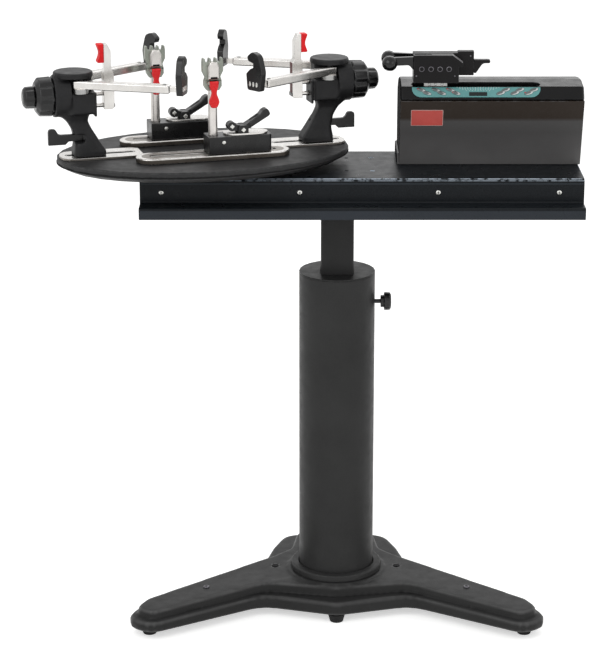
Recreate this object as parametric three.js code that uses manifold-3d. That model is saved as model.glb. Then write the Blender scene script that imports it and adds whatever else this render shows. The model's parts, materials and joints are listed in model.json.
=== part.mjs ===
// A racket stringing machine on a floor stand, in millimetres, +Z up.
// X runs along the base rail with the tension head at +X, and Y points away from the user.
// The column stands on X = 0, Y = 0, and every level above the floor is worked out from the feet up.
import * as THREE from "three";
import { mergeVertices } from "three/addons/utils/BufferGeometryUtils.js";
import Module from "manifold-3d";

const wasm = await Module();
wasm.setup();

// Clearances and drawing steps shared by all pieces
const seat = 0.3; // between two pieces that touch
const running = 0.3; // round a pin in its hole
const overrun = 1; // how far a cutting tool passes the face that it cuts
const weld = 1e-3; // vertices nearer than this are one
const roundShare = 0.48; // the most of an edge that one rounded corner takes
const curveSteps = 3; // segments in each rounded corner
const fineSides = 24;
const sides = 16;
const coarseSides = 8;

// Stand: the cast base and its five levelling feet
const foot = {
  topDiameter: 32,
  bottomDiameter: 24,
  height: 14.7,
  studDiameter: 8,
  studLength: 11,
};
const casting = {
  legReach: 378, // from the column axis to the tip of a leg, along X
  flangeHeight: 25,
  flangeEdge: 5, // rounded upper edge of the flange
  height: 45, // from the underside to the plateau
  plateauEdge: 3,
  roof: 12,
  rib: 12,
  bossDiameter: 178,
  bossHeight: 3,
  legDegrees: 34.8,
};
// Outlines of half the casting: X, Y and corner radius as shares of legReach
const flangeShares = [
  [0, -0.331, 0.08],
  [0.357, -0.228, 0.16],
  [0.876, -0.537, 0.09],
  [1, -0.444, 0.09],
  [0.926, -0.296, 0.09],
  [0.362, 0.146, 0.09],
  [0.312, 0.37, 0.1],
  [0.255, 0.53, 0.1],
  [0, 0.587, 0.12],
];
const plateauShares = [
  [0, -0.252, 0.07],
  [0.34, -0.186, 0.16],
  [0.865, -0.492, 0.06],
  [0.955, -0.432, 0.06],
  [0.9, -0.322, 0.06],
  [0.299, 0.151, 0.09],
  [0.217, 0.238, 0.1],
  [0.19, 0.46, 0.1],
  [0, 0.516, 0.12],
];
// Pockets under the hub and the rear lobe, half-width under a leg and where the legs' middle lines meet,
// as shares of legReach
const pocketShares = [0.225, -0.19, 0.2, 0.4, 0.12, 0.074, 0.211];
// Along a leg: start and end of each pocket as shares of legReach, its roof as a share of the height
const legPocketShares = [
  [0.42, 0.59, 0.66],
  [0.625, 0.79, 0.6],
  [0.825, 0.99, 0.54],
];
const legDropShare = 0.22; // how much lower the casting lies at the tip of a leg
// Feet as shares of legReach, named for parts of the stand
const footShares = {
  left: [-0.886, -0.423],
  right: [0.886, -0.423],
  front: [0, -0.286],
  rear_left: [-0.185, 0.437],
  rear_right: [0.185, 0.437],
};

// Stand: column, height tube and their clamp knob
const column = {
  diameter: 135,
  wall: 4,
  length: 562.7,
  knobDrop: 54.3, // from the top of the column down to the lock knob
};
const columnRing = { diameter: 166, height: 11.7, edge: 4 };
const columnCap = { thickness: 3 };
const heightTube = { width: 58, wall: 3, corner: 5, showing: 183.1, hidden: 299.3 };
const lockKnob = {
  studDiameter: 8,
  collarDiameter: 22,
  collarLength: 6,
  headDiameter: 33,
  headLength: 13,
  standOff: 10, // from the column wall to the collar
  flutes: 6,
};
const bracket = { length: 180, width: 150, thickness: 6, socketWidth: 74, socketDepth: 42.7 };

// Base rail: a hat section bent from sheet
const rail = {
  left: 340,
  right: 421,
  sheet: 3,
  halfTop: 108,
  faceHeight: 43,
  halfLedge: 143,
  lipHeight: 21,
  topBend: 10,
  ledgeBend: 6,
  screwHole: 7,
};

// Turntable, turned about Z, with its slot plates and clamp tracks
const turntable = { x: -233, y: -15, turnDegrees: 16 };
const bearing = { diameter: 140, height: 7.4 };
const disc = { halfLength: 258, halfWidth: 168, height: 22 };
// Rings of the disc: share of its size against share of its height
const discShares = [
  [0.86, 0],
  [0.93, 0.1],
  [0.985, 0.42],
  [0.978, 0.53],
  [1, 0.6],
  [1, 0.93],
  [0.994, 1],
];
const slotPlate = {
  inner: 112,
  outer: 254,
  width: 62,
  thickness: 4.3,
  slotInner: 125,
  slotOuter: 242,
  chamfer: 9,
};
const slotWidth = 8;
const track = { offset: 68, length: 270, width: 56, height: 9.7, slotMargin: 25, edge: 1.5 };

// Towers: local X points outwards, local Z up from the foot
const tower = { offset: 203, key: 30 };
// Sections of the neck: height, centre, half-length, half-width, as shares of the deck height
const neckShares = [
  [0, 0, 0.25, 0.214],
  [0.071, 0, 0.25, 0.214],
  [0.223, 0.036, 0.188, 0.179],
  [0.402, 0.107, 0.152, 0.152],
  [0.536, 0.179, 0.161, 0.152],
  [0.643, 0.223, 0.232, 0.196],
  [0.75, 0.223, 0.304, 0.25],
];
const neckCornerShare = 0.5; // corner radius against the smaller half-width
const housing = {
  deck: 112, // height of the deck that the side arms turn on
  floor: 74,
  inner: -10,
  outer: 35,
  halfWidth: 30,
  corner: 6,
  barrelDiameter: 72,
  barrelEnd: 60,
  barrelStart: 32,
  axisHeight: 104,
};
const towerCap = { diameter: 68, centre: 24, gap: 24.5, thickness: 9.5, edge: 2 };
const pillar = { inner: -6, outer: 34, halfWidth: 12 };
const armPivot = { x: 16, y: 28, pinDiameter: 8 };
const sideArm = {
  rootDiameter: 29,
  rootHeight: 7.7,
  width: 18,
  height: 14,
  chamfer: 1.8,
  length: 158,
  stubLength: 14,
  stubWidth: 9,
  stubHeight: 9,
  splayDegrees: 29.6,
};
const hook = { height: 66, halfWidth: 19, thickness: 11, foot: 2 };
// Hook outline, notch side positive: shares of halfWidth and height, corner radius as a share of height
const hookShares = [
  [-0.75, 0, 0.06],
  [0.85, 0, 0.08],
  [1, 0.42, 0.07],
  [0.5, 0.55, 0.03],
  [0.12, 0.595, 0.02],
  [0.12, 0.705, 0.02],
  [0.72, 0.75, 0.04],
  [0.9, 0.86, 0.08],
  [0.25, 1, 0.12],
  [-0.55, 0.93, 0.2],
  [-1, 0.5, 0.3],
];
const armKnob = { diameter: 68, length: 30.7, flutes: 8 };
const supportKnob = { diameter: 38, length: 19.7, flutes: 6 };
const knobScrew = { diameter: 14, length: 6 };
const supportBar = {
  inner: -45,
  outer: -27,
  halfWidth: 10,
  upperInner: -41,
  upperOuter: -29,
  upperHalfWidth: 8,
  bottomHeight: 78,
  shoulderHeight: 146,
  topHeight: 190,
  chamfer: 6,
  rodDiameter: 8,
  rodReach: 2,
};
const rodHeights = [84, 104];
const supportPad = { height: 32, thickness: 12, waist: 6, halfWidth: 8 };
const lockLever = {
  bottom: 24.4,
  thickness: 12,
  hubDiameter: 20,
  pinDiameter: 7,
  bladeWidth: 8,
  finStart: 35,
  reach: 70,
  finBottom: 19,
  finTop: 47,
  swingDegrees: 50,
};

// String clamps on the tracks: local origin on the post's axis at the track's top
const clamp = { frontX: 0, rearX: -70 };
const clampBase = {
  back: 12,
  front: 100,
  halfWidth: 22,
  waistHalfWidth: 19.5,
  height: 30,
  socketDepth: 20,
  keyLength: 12,
  earInner: 9.3,
  earThickness: 3.4,
  earLength: 18,
  earHeight: 16,
};
const clampPlate = { start: 18, end: 96, width: 36, thickness: 3 };
const baseLever = {
  pivotX: 51,
  pivotRise: 8, // above the top of the base
  halfWidth: 8.8,
  pinDiameter: 6,
  hubDiameter: 15,
  lobeBack: 24,
  lobeRise: 6,
  lobeDiameter: 16,
  handleLength: 55,
  handleDegrees: 31,
  handleHalfWidth: 10,
  handleThickness: 11,
  handleStart: 13,
  humpShare: 1.5, // thickness of the handle's end against its middle
};
const clampPost = { diameter: 16, length: 102 };
const clampHead = {
  bodyHalfWidth: 15,
  bodyBack: 7,
  bodyFront: 6,
  bodyHeight: 17,
  jawHalfWidth: 18,
  jawThickness: 4.6,
  jawHeight: 38,
  toothHeight: 7,
  teeth: 4,
  waistShare: 0.72, // jaw width at its waist against its full width
  mouth: 1.8, // open gap between the jaws
  blockHalfWidth: 10,
  blockDepth: 8,
  blockHeight: 29,
  blockRise: 3,
};
const trigger = {
  topHalfWidth: 7.8,
  waistHalfWidth: 4,
  bulbDiameter: 20,
  length: 46,
  thickness: 5.4,
  pinDiameter: 3.4,
  earThickness: 2.6,
  standOff: 2.6, // from the head to the trigger's back
};

// Tension head on the rail
const head = {
  left: 107,
  right: 424,
  seamHeight: 120.7,
  frontFoot: -5,
  frontSeam: -42,
  back: 98,
  groove: 2, // depth and height of the shadow line at the seam
  endRound: 6,
  flangeHeight: 20,
  flangeThickness: 3.5,
};
// Cover profile above the seam: Y, and height above the seam, corner radius
const cover = {
  slopeFoot: [-40, 5],
  slopeTop: [-27, 22],
  crown: [15, 27],
  shoulder: [60, 23],
  backSeam: 92,
  slopeRadius: 4,
  crownRadius: 30,
};
const coverSlot = { left: 127, right: 349, front: -27, back: -3, floor: 3 };
const panel = { left: 127, right: 348, thickness: 1.2, height: 19, corner: 16 };
const carriage = { left: 148, length: 40, halfDepth: 10, height: 26.1 };
const gripper = {
  axisY: -15,
  stringGap: 3,
  frontLeft: -19,
  frontRight: 59,
  nose: 66, // where the chamfered corner of the front cheek reaches
  frontDepth: 20.5,
  rearDepth: 20.5,
  height: 48,
  noseLow: 28,
  noseHigh: 35,
  rearBlockEnd: 86,
  rearBlockLow: 9,
  rearBlockHigh: 51,
  rearBlockDepth: 15,
};
const ballLever = {
  pivotX: -4,
  pivotOffset: 11.5, // from the string axis
  ballDiameter: 27,
  ballBack: 57.5, // from the pivot to the ball's centre
  ballDrop: 2,
  turnDegrees: 13.1,
  armUp: 8,
  armDown: 6,
  rootDown: 14,
  rootLength: 17,
  armThickness: 8,
  hubDiameter: 11,
  pinDiameter: 4.6,
  rise: 37, // from the cheek's foot to the lever's axis
  slotEnd: 4,
  slotFront: 20,
  slotBack: 4.2,
};
const tab = { length: 28, start: 2, width: 12, low: 30, thickness: 6, gussetLength: 15, gussetDrop: 17 };

// Levels of the stand, from the floor up
const castingFoot = foot.height + seat;
const plateau = castingFoot + casting.height;
const columnFoot = plateau + casting.bossHeight + seat;
const columnTop = columnFoot + column.length;
const knobLevel = columnTop - column.knobDrop;
const capFoot = columnTop + seat;
const tubeTop = capFoot + columnCap.thickness + heightTube.showing;
const tubeFoot = tubeTop - heightTube.showing - heightTube.hidden;
const bracketFoot = tubeTop + seat;
const railTop = bracketFoot + bracket.thickness + seat + rail.sheet;

// Levels of the turntable, from the rail's top up
const discFoot = seat + bearing.height + seat;
const discTop = discFoot + disc.height;
const towerFoot = discTop + seat + slotPlate.thickness + seat;
const clampFoot = discTop + seat + track.height + seat;

// Drawing helpers

const toX = new THREE.Matrix4().makeBasis(
  new THREE.Vector3(0, 1, 0),
  new THREE.Vector3(0, 0, 1),
  new THREE.Vector3(1, 0, 0),
);
const toY = new THREE.Matrix4().makeBasis(
  new THREE.Vector3(1, 0, 0),
  new THREE.Vector3(0, 0, 1),
  new THREE.Vector3(0, -1, 0),
);
const radians = THREE.MathUtils.degToRad;

function toSolid(geometry) {
  const bare = geometry.clone();
  bare.deleteAttribute("normal");
  bare.deleteAttribute("uv");
  const merged = mergeVertices(bare, weld);
  const vertProperties = merged.attributes.position.array;
  const triVerts = new Uint32Array(merged.index.array);
  return new wasm.Manifold(new wasm.Mesh({ numProp: 3, vertProperties, triVerts }));
}

function toGeometry(solid) {
  const mesh = solid.getMesh();
  return new THREE.BufferGeometry()
    .setAttribute("position", new THREE.BufferAttribute(mesh.vertProperties, 3))
    .setIndex(new THREE.BufferAttribute(mesh.triVerts, 1));
}

function join(first, ...others) {
  return toGeometry(others.reduce((sum, other) => sum.add(toSolid(other)), toSolid(first)));
}

function cut(body, ...tools) {
  return toGeometry(tools.reduce((rest, tool) => rest.subtract(toSolid(tool)), toSolid(body)));
}

// A closed outline through corners [x, y, radius], each corner rounded off by its radius
function roundedShape(corners) {
  const shape = new THREE.Shape();
  corners.forEach(([x, y, radius = 0], i) => {
    const here = new THREE.Vector2(x, y);
    const before = new THREE.Vector2(...corners.at(i - 1).slice(0, 2));
    const after = new THREE.Vector2(...corners[(i + 1) % corners.length].slice(0, 2));
    const back = before.sub(here);
    const ahead = after.sub(here);
    const half = back.angleTo(ahead) / 2;
    const room = Math.min(back.length(), ahead.length()) * roundShare;
    const reach = Math.min(radius / Math.tan(half), room);
    const start = here.clone().add(back.setLength(reach));
    const end = here.clone().add(ahead.setLength(reach));
    if (i === 0) shape.moveTo(start.x, start.y);
    else shape.lineTo(start.x, start.y);
    if (reach > 0) shape.quadraticCurveTo(here.x, here.y, end.x, end.y);
  });
  shape.closePath();
  return shape;
}

function rectangle(x0, x1, y0, y1, radius = 0) {
  return roundedShape([
    [x0, y0, radius],
    [x1, y0, radius],
    [x1, y1, radius],
    [x0, y1, radius],
  ]);
}

// A slot or stadium along X between two round ends; an arc is drawn with twice the steps that getPoints is given
function stadium(x0, x1, width, steps = sides) {
  const radius = width / 2;
  const shape = new THREE.Shape();
  shape.absarc(x1 - radius, 0, radius, -Math.PI / 2, Math.PI / 2);
  shape.absarc(x0 + radius, 0, radius, Math.PI / 2, (3 * Math.PI) / 2);
  return new THREE.Shape(shape.getPoints(steps / 4));
}

// Raises a flat outline between two levels; along x it is drawn in Y and Z, along y in X and Z
function prism(shape, low, high, axis = "z") {
  const settings = { depth: high - low, bevelEnabled: false, curveSegments: curveSteps };
  const solid = new THREE.ExtrudeGeometry(shape, settings);
  if (axis === "x") return solid.translate(0, 0, low).applyMatrix4(toX);
  if (axis === "y") return solid.translate(0, 0, -high).applyMatrix4(toY);
  return solid.translate(0, 0, low);
}

// The same with a chamfer on both faces
function chamferedPrism(shape, low, high, chamfer, axis = "z") {
  const settings = {
    depth: high - low - 2 * chamfer,
    bevelThickness: chamfer,
    bevelSize: chamfer,
    bevelOffset: -chamfer,
    bevelSegments: 1,
    curveSegments: curveSteps,
  };
  const solid = new THREE.ExtrudeGeometry(shape, settings).translate(0, 0, chamfer);
  if (axis === "x") return solid.translate(0, 0, low).applyMatrix4(toX);
  if (axis === "y") return solid.translate(0, 0, -high).applyMatrix4(toY);
  return solid.translate(0, 0, low);
}

function block(x0, x1, y0, y1, z0, z1) {
  const solid = new THREE.BoxGeometry(x1 - x0, y1 - y0, z1 - z0);
  return solid.translate((x0 + x1) / 2, (y0 + y1) / 2, (z0 + z1) / 2);
}

function rod(diameter, low, high, axis = "z", steps = sides, topDiameter = diameter) {
  const solid = new THREE.CylinderGeometry(topDiameter / 2, diameter / 2, high - low, steps);
  const upright = solid.rotateX(Math.PI / 2).translate(0, 0, (low + high) / 2);
  if (axis === "x") return upright.applyMatrix4(toX);
  if (axis === "y") return upright.translate(0, 0, -low - high).applyMatrix4(toY);
  return upright;
}

// The tool for a round hole that clears a shaft of the given diameter, flats included
function bore(diameter, low, high, axis = "z") {
  return rod((diameter + 2 * running) / Math.cos(Math.PI / coarseSides), low, high, axis, coarseSides);
}

// A turned piece about Z: the profile [radius, height] runs anticlockwise
function revolve(profile, steps = sides) {
  const points = profile.map(([r, z]) => new THREE.Vector2(r, z));
  return new THREE.LatheGeometry(points, steps).rotateX(Math.PI / 2);
}

// A skin through rings of equal counts, each a list of Vector3 anticlockwise seen from above
function loft(rings) {
  const count = rings[0].length;
  const positions = rings.flat().flatMap((p) => [p.x, p.y, p.z]);
  const index = [];
  for (let level = 0; level < rings.length - 1; level++) {
    for (let i = 0; i < count; i++) {
      const a = level * count + i;
      const b = level * count + ((i + 1) % count);
      index.push(a, b, b + count, a, b + count, a + count);
    }
  }
  const flat = (ring) => ring.map((p) => new THREE.Vector2(p.x, p.y));
  const last = (rings.length - 1) * count;
  for (const [a, b, c] of THREE.ShapeUtils.triangulateShape(flat(rings[0]), [])) index.push(a, c, b);
  for (const [a, b, c] of THREE.ShapeUtils.triangulateShape(flat(rings.at(-1)), [])) {
    index.push(last + a, last + b, last + c);
  }
  const geometry = new THREE.BufferGeometry();
  geometry.setAttribute("position", new THREE.Float32BufferAttribute(positions, 3));
  return geometry.setIndex(index);
}

function ringOf(shape, z) {
  const points = shape.getPoints(curveSteps);
  if (points[0].distanceTo(points.at(-1)) < weld) points.pop();
  return points.map((p) => new THREE.Vector3(p.x, p.y, z));
}

// Turns a solid about a vertical line through x, y
function turned(geometry, degrees, x = 0, y = 0) {
  return geometry.translate(-x, -y, 0).rotateZ(radians(degrees)).translate(x, y, 0);
}

function material(color, roughness, metalness) {
  return new THREE.MeshStandardMaterial({ color, roughness, metalness });
}

const finishes = {
  castBlack: material("#383838", 0.55, 0.3),
  railBlack: material("#1b222b", 0.45, 0.4),
  discBlack: material("#3c3c3c", 0.7, 0.3),
  towerBlack: material("#2b2b2b", 0.75, 0.2),
  silver: material("#c9c7c3", 0.3, 0.9),
  steel: material("#a8a8a8", 0.3, 1),
  plastic: material("#1d1d1f", 0.5, 0),
  gloss: material("#2c2a2a", 0.15, 0),
  red: material("#e3242b", 0.35, 0),
  redRubber: material("#d8262c", 0.6, 0),
  teal: material("#5f9a99", 0.4, 0),
  cheek: material("#2a2625", 0.35, 0.6),
  rubber: material("#161616", 0.9, 0),
};

function piece(parent, name, geometry, finish) {
  const mesh = new THREE.Mesh(geometry, finish);
  mesh.name = name;
  parent.add(mesh);
  return mesh;
}

// A group at a joint's place, named for the body that it carries
function body(parent, name, x, y, z, degrees = 0) {
  const group = new THREE.Group();
  group.name = name;
  group.position.set(x, y, z);
  group.rotation.z = radians(degrees);
  parent.add(group);
  return group;
}

// Stand pieces

// Mirrors half an outline given in shares of the leg's reach
function castingShape(halfShares) {
  const half = halfShares.map((corner) => corner.map((share) => share * casting.legReach));
  const mirrored = half.slice(1, -1).reverse().map(([x, y, radius]) => [-x, y, radius]);
  return roundedShape([...half, ...mirrored]);
}

// The casting thins towards the tips of its legs
function dropLegs(ring) {
  return ring.map((p) => {
    const share = THREE.MathUtils.smoothstep(Math.abs(p.x), casting.bossDiameter / 2, casting.legReach);
    const height = (p.z - castingFoot) * (1 - legDropShare * share);
    return new THREE.Vector3(p.x, p.y, castingFoot + height);
  });
}

// Draws a ring in towards its own inside by a distance
function inset(ring, distance) {
  return ring.map((p, i) => {
    const before = ring.at(i - 1);
    const after = ring[(i + 1) % ring.length];
    const along = new THREE.Vector2(after.x - before.x, after.y - before.y).normalize();
    return new THREE.Vector3(p.x - along.y * distance, p.y + along.x * distance, p.z);
  });
}

function castingSkin() {
  const flange = castingShape(flangeShares);
  const top = castingShape(plateauShares);
  const flangeTop = castingFoot + casting.flangeHeight;
  const rings = [
    ringOf(flange, castingFoot),
    ringOf(flange, flangeTop - casting.flangeEdge),
    inset(ringOf(flange, flangeTop - casting.flangeEdge / 3), casting.flangeEdge / 3),
    inset(ringOf(flange, flangeTop), casting.flangeEdge),
    ringOf(top, flangeTop),
    ringOf(top, plateau - casting.plateauEdge),
    inset(ringOf(top, plateau), casting.plateauEdge),
  ];
  return loft(rings.map(dropLegs));
}

// A pocket in the underside, tapered so that the casting leaves its mould
function pocket(x0, x1, y0, y1, roof) {
  const draft = casting.rib / 4;
  const mouth = rectangle(x0, x1, y0, y1);
  const floor = rectangle(x0 + draft, x1 - draft, y0 + draft, y1 - draft);
  return loft([ringOf(mouth, castingFoot - overrun), ringOf(floor, roof)]);
}

// Pockets with ribs between them, under the hub and along each leg
function castingPockets() {
  const roof = plateau - casting.roof;
  const half = casting.rib / 2;
  const [hubWide, hubFront, hubBack, lobeBack, lobeWide, legWide, legStart] = pocketShares.map(
    (share) => share * casting.legReach,
  );
  const pockets = [];
  for (const side of [-1, 1]) {
    const x = (from, to) => [Math.min(side * from, side * to), Math.max(side * from, side * to)];
    pockets.push(pocket(...x(half, hubWide), hubFront, -half, roof));
    pockets.push(pocket(...x(half, hubWide), half, hubBack, roof));
    pockets.push(pocket(...x(half, lobeWide), hubBack + casting.rib, lobeBack, roof));
    const degrees = side > 0 ? -casting.legDegrees : 180 + casting.legDegrees;
    for (const [start, end, roofShare] of legPocketShares) {
      const low = castingFoot + casting.height * roofShare;
      const straight = pocket(casting.legReach * start, casting.legReach * end, -legWide, legWide, low);
      pockets.push(turned(straight, degrees).translate(0, legStart, 0));
    }
  }
  return pockets;
}

function baseCasting() {
  const boss = revolve([
    [0, plateau - casting.plateauEdge],
    [casting.bossDiameter / 2 + casting.bossHeight, plateau - casting.plateauEdge],
    [casting.bossDiameter / 2, plateau + casting.bossHeight],
    [0, plateau + casting.bossHeight],
  ], fineSides);
  const studDepth = castingFoot + foot.studLength + 2 * seat;
  const studHoles = Object.values(footShares).map(([x, y]) =>
    bore(foot.studDiameter, castingFoot - overrun, studDepth)
      .translate(x * casting.legReach, y * casting.legReach, 0),
  );
  const plateauHoles = [-1, 1].map((side) =>
    rod(casting.rib, castingFoot, plateau + overrun, "z", coarseSides)
      .translate(side * casting.legReach * 0.296, casting.legReach * 0.013, 0),
  );
  return cut(join(castingSkin(), boss), ...castingPockets(), ...studHoles, ...plateauHoles);
}

function levellingFoot() {
  const stud = foot.studDiameter / 2;
  const studTop = castingFoot + foot.studLength;
  return revolve([
    [0, 0],
    [foot.bottomDiameter / 2, 0],
    [foot.topDiameter / 2, foot.height],
    [stud, foot.height],
    [stud, studTop],
    [0, studTop],
  ], sides);
}

function columnRingPiece() {
  const inner = column.diameter / 2 + running;
  const outer = columnRing.diameter / 2;
  const top = columnFoot + columnRing.height;
  return revolve([
    [inner, columnFoot],
    [outer, columnFoot],
    [outer, top - columnRing.edge],
    [outer - columnRing.edge / 3, top - columnRing.edge / 3],
    [outer - columnRing.edge, top],
    [inner + columnRing.edge / 2, top],
    [inner, top - columnRing.edge / 2],
    [inner, columnFoot],
  ], fineSides);
}

function columnTube() {
  const outer = column.diameter / 2;
  const inner = outer - column.wall;
  const tube = revolve([
    [inner, columnFoot],
    [outer, columnFoot],
    [outer, columnTop],
    [inner, columnTop],
    [inner, columnFoot],
  ], fineSides);
  const hole = bore(lockKnob.studDiameter, 0, outer + overrun, "x");
  return cut(tube, hole.translate(0, 0, knobLevel));
}

function tubeOutline(width, corner) {
  return rectangle(-width / 2, width / 2, -width / 2, width / 2, corner);
}

function withHole(outline, hole) {
  outline.holes.push(new THREE.Path(hole.getPoints(curveSteps)));
  return outline;
}

function columnCapPiece() {
  const disc = new THREE.Shape();
  disc.absarc(0, 0, column.diameter / 2, 0, 2 * Math.PI);
  const round = new THREE.Shape(disc.getPoints(fineSides / 2));
  const hole = tubeOutline(heightTube.width + 2 * running, heightTube.corner);
  return prism(withHole(round, hole), capFoot, capFoot + columnCap.thickness);
}

function heightTubePiece() {
  const inner = heightTube.width - 2 * heightTube.wall;
  const outline = tubeOutline(heightTube.width, heightTube.corner);
  const hole = tubeOutline(inner, heightTube.corner - heightTube.wall);
  return prism(withHole(outline, hole), tubeFoot, tubeTop);
}

function mountingBracket() {
  const plateTop = bracketFoot + bracket.thickness;
  const corner = bracket.socketWidth / 10;
  const halfLength = bracket.length / 2;
  const halfWidth = bracket.width / 2;
  const plate = rectangle(-halfLength, halfLength, -halfWidth, halfWidth, corner);
  const socket = tubeOutline(bracket.socketWidth, corner);
  const hole = tubeOutline(heightTube.width + 2 * running, heightTube.corner);
  return join(
    prism(plate, bracketFoot, plateTop),
    prism(withHole(socket, hole), bracketFoot - bracket.socketDepth, bracketFoot + overrun),
  );
}

// A grip of revolution with flutes: sections are [height, radius], each fluted by its own share
function fluted(sections, flutes, steps = 4) {
  const count = flutes * steps;
  const rings = sections.map(([z, radius, depthShare]) =>
    Array.from({ length: count }, (_, i) => {
      const angle = (2 * Math.PI * i) / count;
      const dip = i % steps === 0 ? depthShare : 0;
      const r = radius * (1 - dip);
      return new THREE.Vector3(r * Math.cos(angle), r * Math.sin(angle), z);
    }),
  );
  return loft(rings);
}

function grip(diameter, length, flutes) {
  const radius = diameter / 2;
  const fluteShare = 0.1;
  return fluted([
    [0, radius * 0.92, 0],
    [length * 0.12, radius, fluteShare],
    [length * 0.8, radius * 0.97, fluteShare],
    [length, radius * 0.72, 0],
  ], flutes);
}

// The knob's local origin lies on its axis at the height tube's face; X runs outwards
function lockKnobPiece() {
  const start = seat;
  const collar = (column.diameter - heightTube.width) / 2 + lockKnob.standOff;
  const headStart = collar + lockKnob.collarLength;
  const head = grip(lockKnob.headDiameter, lockKnob.headLength, lockKnob.flutes);
  return join(
    rod(lockKnob.studDiameter, start, collar + overrun, "x", coarseSides),
    rod(lockKnob.collarDiameter, collar, headStart + overrun, "x"),
    head.translate(0, 0, headStart).applyMatrix4(toX),
  );
}

// Base rail

// The hat section: half its outer surface from the middle out, and its inner surface a sheet's thickness in
function railShape() {
  const t = rail.sheet;
  const ledge = railTop - rail.faceHeight;
  const outer = [
    [rail.halfTop, railTop, rail.topBend],
    [rail.halfTop, ledge, rail.ledgeBend - t],
    [rail.halfLedge, ledge, rail.ledgeBend],
    [rail.halfLedge, ledge - rail.lipHeight],
  ];
  const inner = [
    [rail.halfTop - t, railTop - t, rail.topBend - t],
    [rail.halfTop - t, ledge - t, rail.ledgeBend],
    [rail.halfLedge - t, ledge - t, rail.ledgeBend - t],
    [rail.halfLedge - t, ledge - rail.lipHeight],
  ];
  const mirror = ([y, z, radius]) => [-y, z, radius];
  const right = [...inner, ...outer.slice().reverse()];
  return roundedShape([...right, ...right.slice().reverse().map(mirror)]);
}

function baseRail() {
  const section = prism(railShape(), -rail.left, rail.right, "x");
  const holes = [];
  for (const x of [-1, 1]) {
    for (const y of [-1, 1]) {
      const hole = rod(rail.screwHole, railTop - rail.sheet - overrun, railTop + overrun, "z", coarseSides);
      holes.push(hole.translate((x * bracket.length) / 3, (y * bracket.width) / 3, 0));
    }
  }
  return cut(section, ...holes);
}

// Turntable pieces: local origin on the turntable's axis at the rail's top

function bearingPiece() {
  return rod(bearing.diameter, seat, seat + bearing.height, "z", fineSides);
}

function ellipseRing(halfLength, halfWidth, z) {
  const count = fineSides + coarseSides;
  return Array.from({ length: count }, (_, i) => {
    const angle = (2 * Math.PI * i) / count;
    return new THREE.Vector3(halfLength * Math.cos(angle), halfWidth * Math.sin(angle), z);
  });
}

function turntableDisc() {
  const rings = discShares.map(([size, height]) =>
    ellipseRing(disc.halfLength * size, disc.halfWidth * size, discFoot + disc.height * height),
  );
  return loft(rings);
}

// Lies on the disc under the right tower; the left one is the same turned round
function slotPlatePiece() {
  const half = slotPlate.width / 2;
  const outerRound = half * 0.9;
  const outline = roundedShape([
    [slotPlate.inner + slotPlate.chamfer, -half],
    [slotPlate.outer, -half, outerRound],
    [slotPlate.outer, half, outerRound],
    [slotPlate.inner + slotPlate.chamfer, half],
    [slotPlate.inner, half - slotPlate.chamfer],
    [slotPlate.inner, slotPlate.chamfer - half],
  ]);
  const slot = stadium(slotPlate.slotInner, slotPlate.slotOuter, slotWidth, coarseSides);
  return prism(withHole(outline, slot), discTop + seat, discTop + seat + slotPlate.thickness);
}

function clampTrack() {
  const half = track.length / 2;
  const outline = stadium(-half, half, track.width);
  const slot = stadium(track.slotMargin - half, half - track.slotMargin, slotWidth, coarseSides);
  const low = discTop + seat;
  return chamferedPrism(withHole(outline, slot), low, low + track.height, track.edge);
}

// Towers

function neck() {
  return loft(neckShares.map((shares) => {
    const [z, centre, a, b] = shares.map((share) => share * housing.deck);
    return ringOf(rectangle(centre - a, centre + a, -b, b, Math.min(a, b) * neckCornerShare), z);
  }));
}

function towerHousing() {
  const { inner, outer, halfWidth, corner, floor, deck } = housing;
  const box = chamferedPrism(rectangle(inner, outer, -halfWidth, halfWidth, corner), floor, deck, corner / 3);
  const barrel = rod(housing.barrelDiameter, housing.barrelStart, housing.barrelEnd, "x", fineSides);
  const faceHalf = halfWidth * 0.6;
  const facePlate = block(
    inner - corner / 2, inner + overrun, -faceHalf, faceHalf, floor - corner, deck - corner / 2,
  );
  return [box, barrel.translate(0, 0, housing.axisHeight), facePlate];
}

function towerTop() {
  const low = housing.deck + towerCap.gap;
  const high = low + towerCap.thickness;
  const radius = towerCap.diameter / 2;
  const cap = revolve([
    [0, low],
    [radius, low],
    [radius, high - towerCap.edge],
    [radius - towerCap.edge, high],
    [0, high],
  ], fineSides).translate(towerCap.centre, 0, 0);
  const post = block(
    pillar.inner, pillar.outer, -pillar.halfWidth, pillar.halfWidth, housing.deck - overrun, low + overrun,
  );
  const pins = [-1, 1].map((side) =>
    rod(armPivot.pinDiameter, housing.deck - overrun, low + overrun, "z", coarseSides)
      .translate(armPivot.x, side * armPivot.y, 0),
  );
  return [cap, post, ...pins];
}

// The room in the neck that the lock lever swings in
function leverRoom() {
  const low = lockLever.bottom - seat;
  const high = lockLever.bottom + lockLever.thickness + seat;
  const half = lockLever.bladeWidth / 2 + running;
  const reach = lockLever.finStart;
  const swing = radians(lockLever.swingDegrees);
  const end = new THREE.Vector2(Math.cos(swing), Math.sin(swing)).multiplyScalar(reach);
  const side = new THREE.Vector2(-Math.sin(swing), Math.cos(swing)).multiplyScalar(half);
  const middle = new THREE.Vector2(Math.cos(swing / 2), Math.sin(swing / 2)).multiplyScalar(reach * 1.4);
  const wedge = roundedShape([
    [0, -half],
    [reach, -half],
    [middle.x, middle.y],
    [end.x + side.x, end.y + side.y],
    [side.x, side.y],
  ]);
  return [bore(lockLever.hubDiameter, low, high), prism(wedge, low, high)];
}

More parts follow.
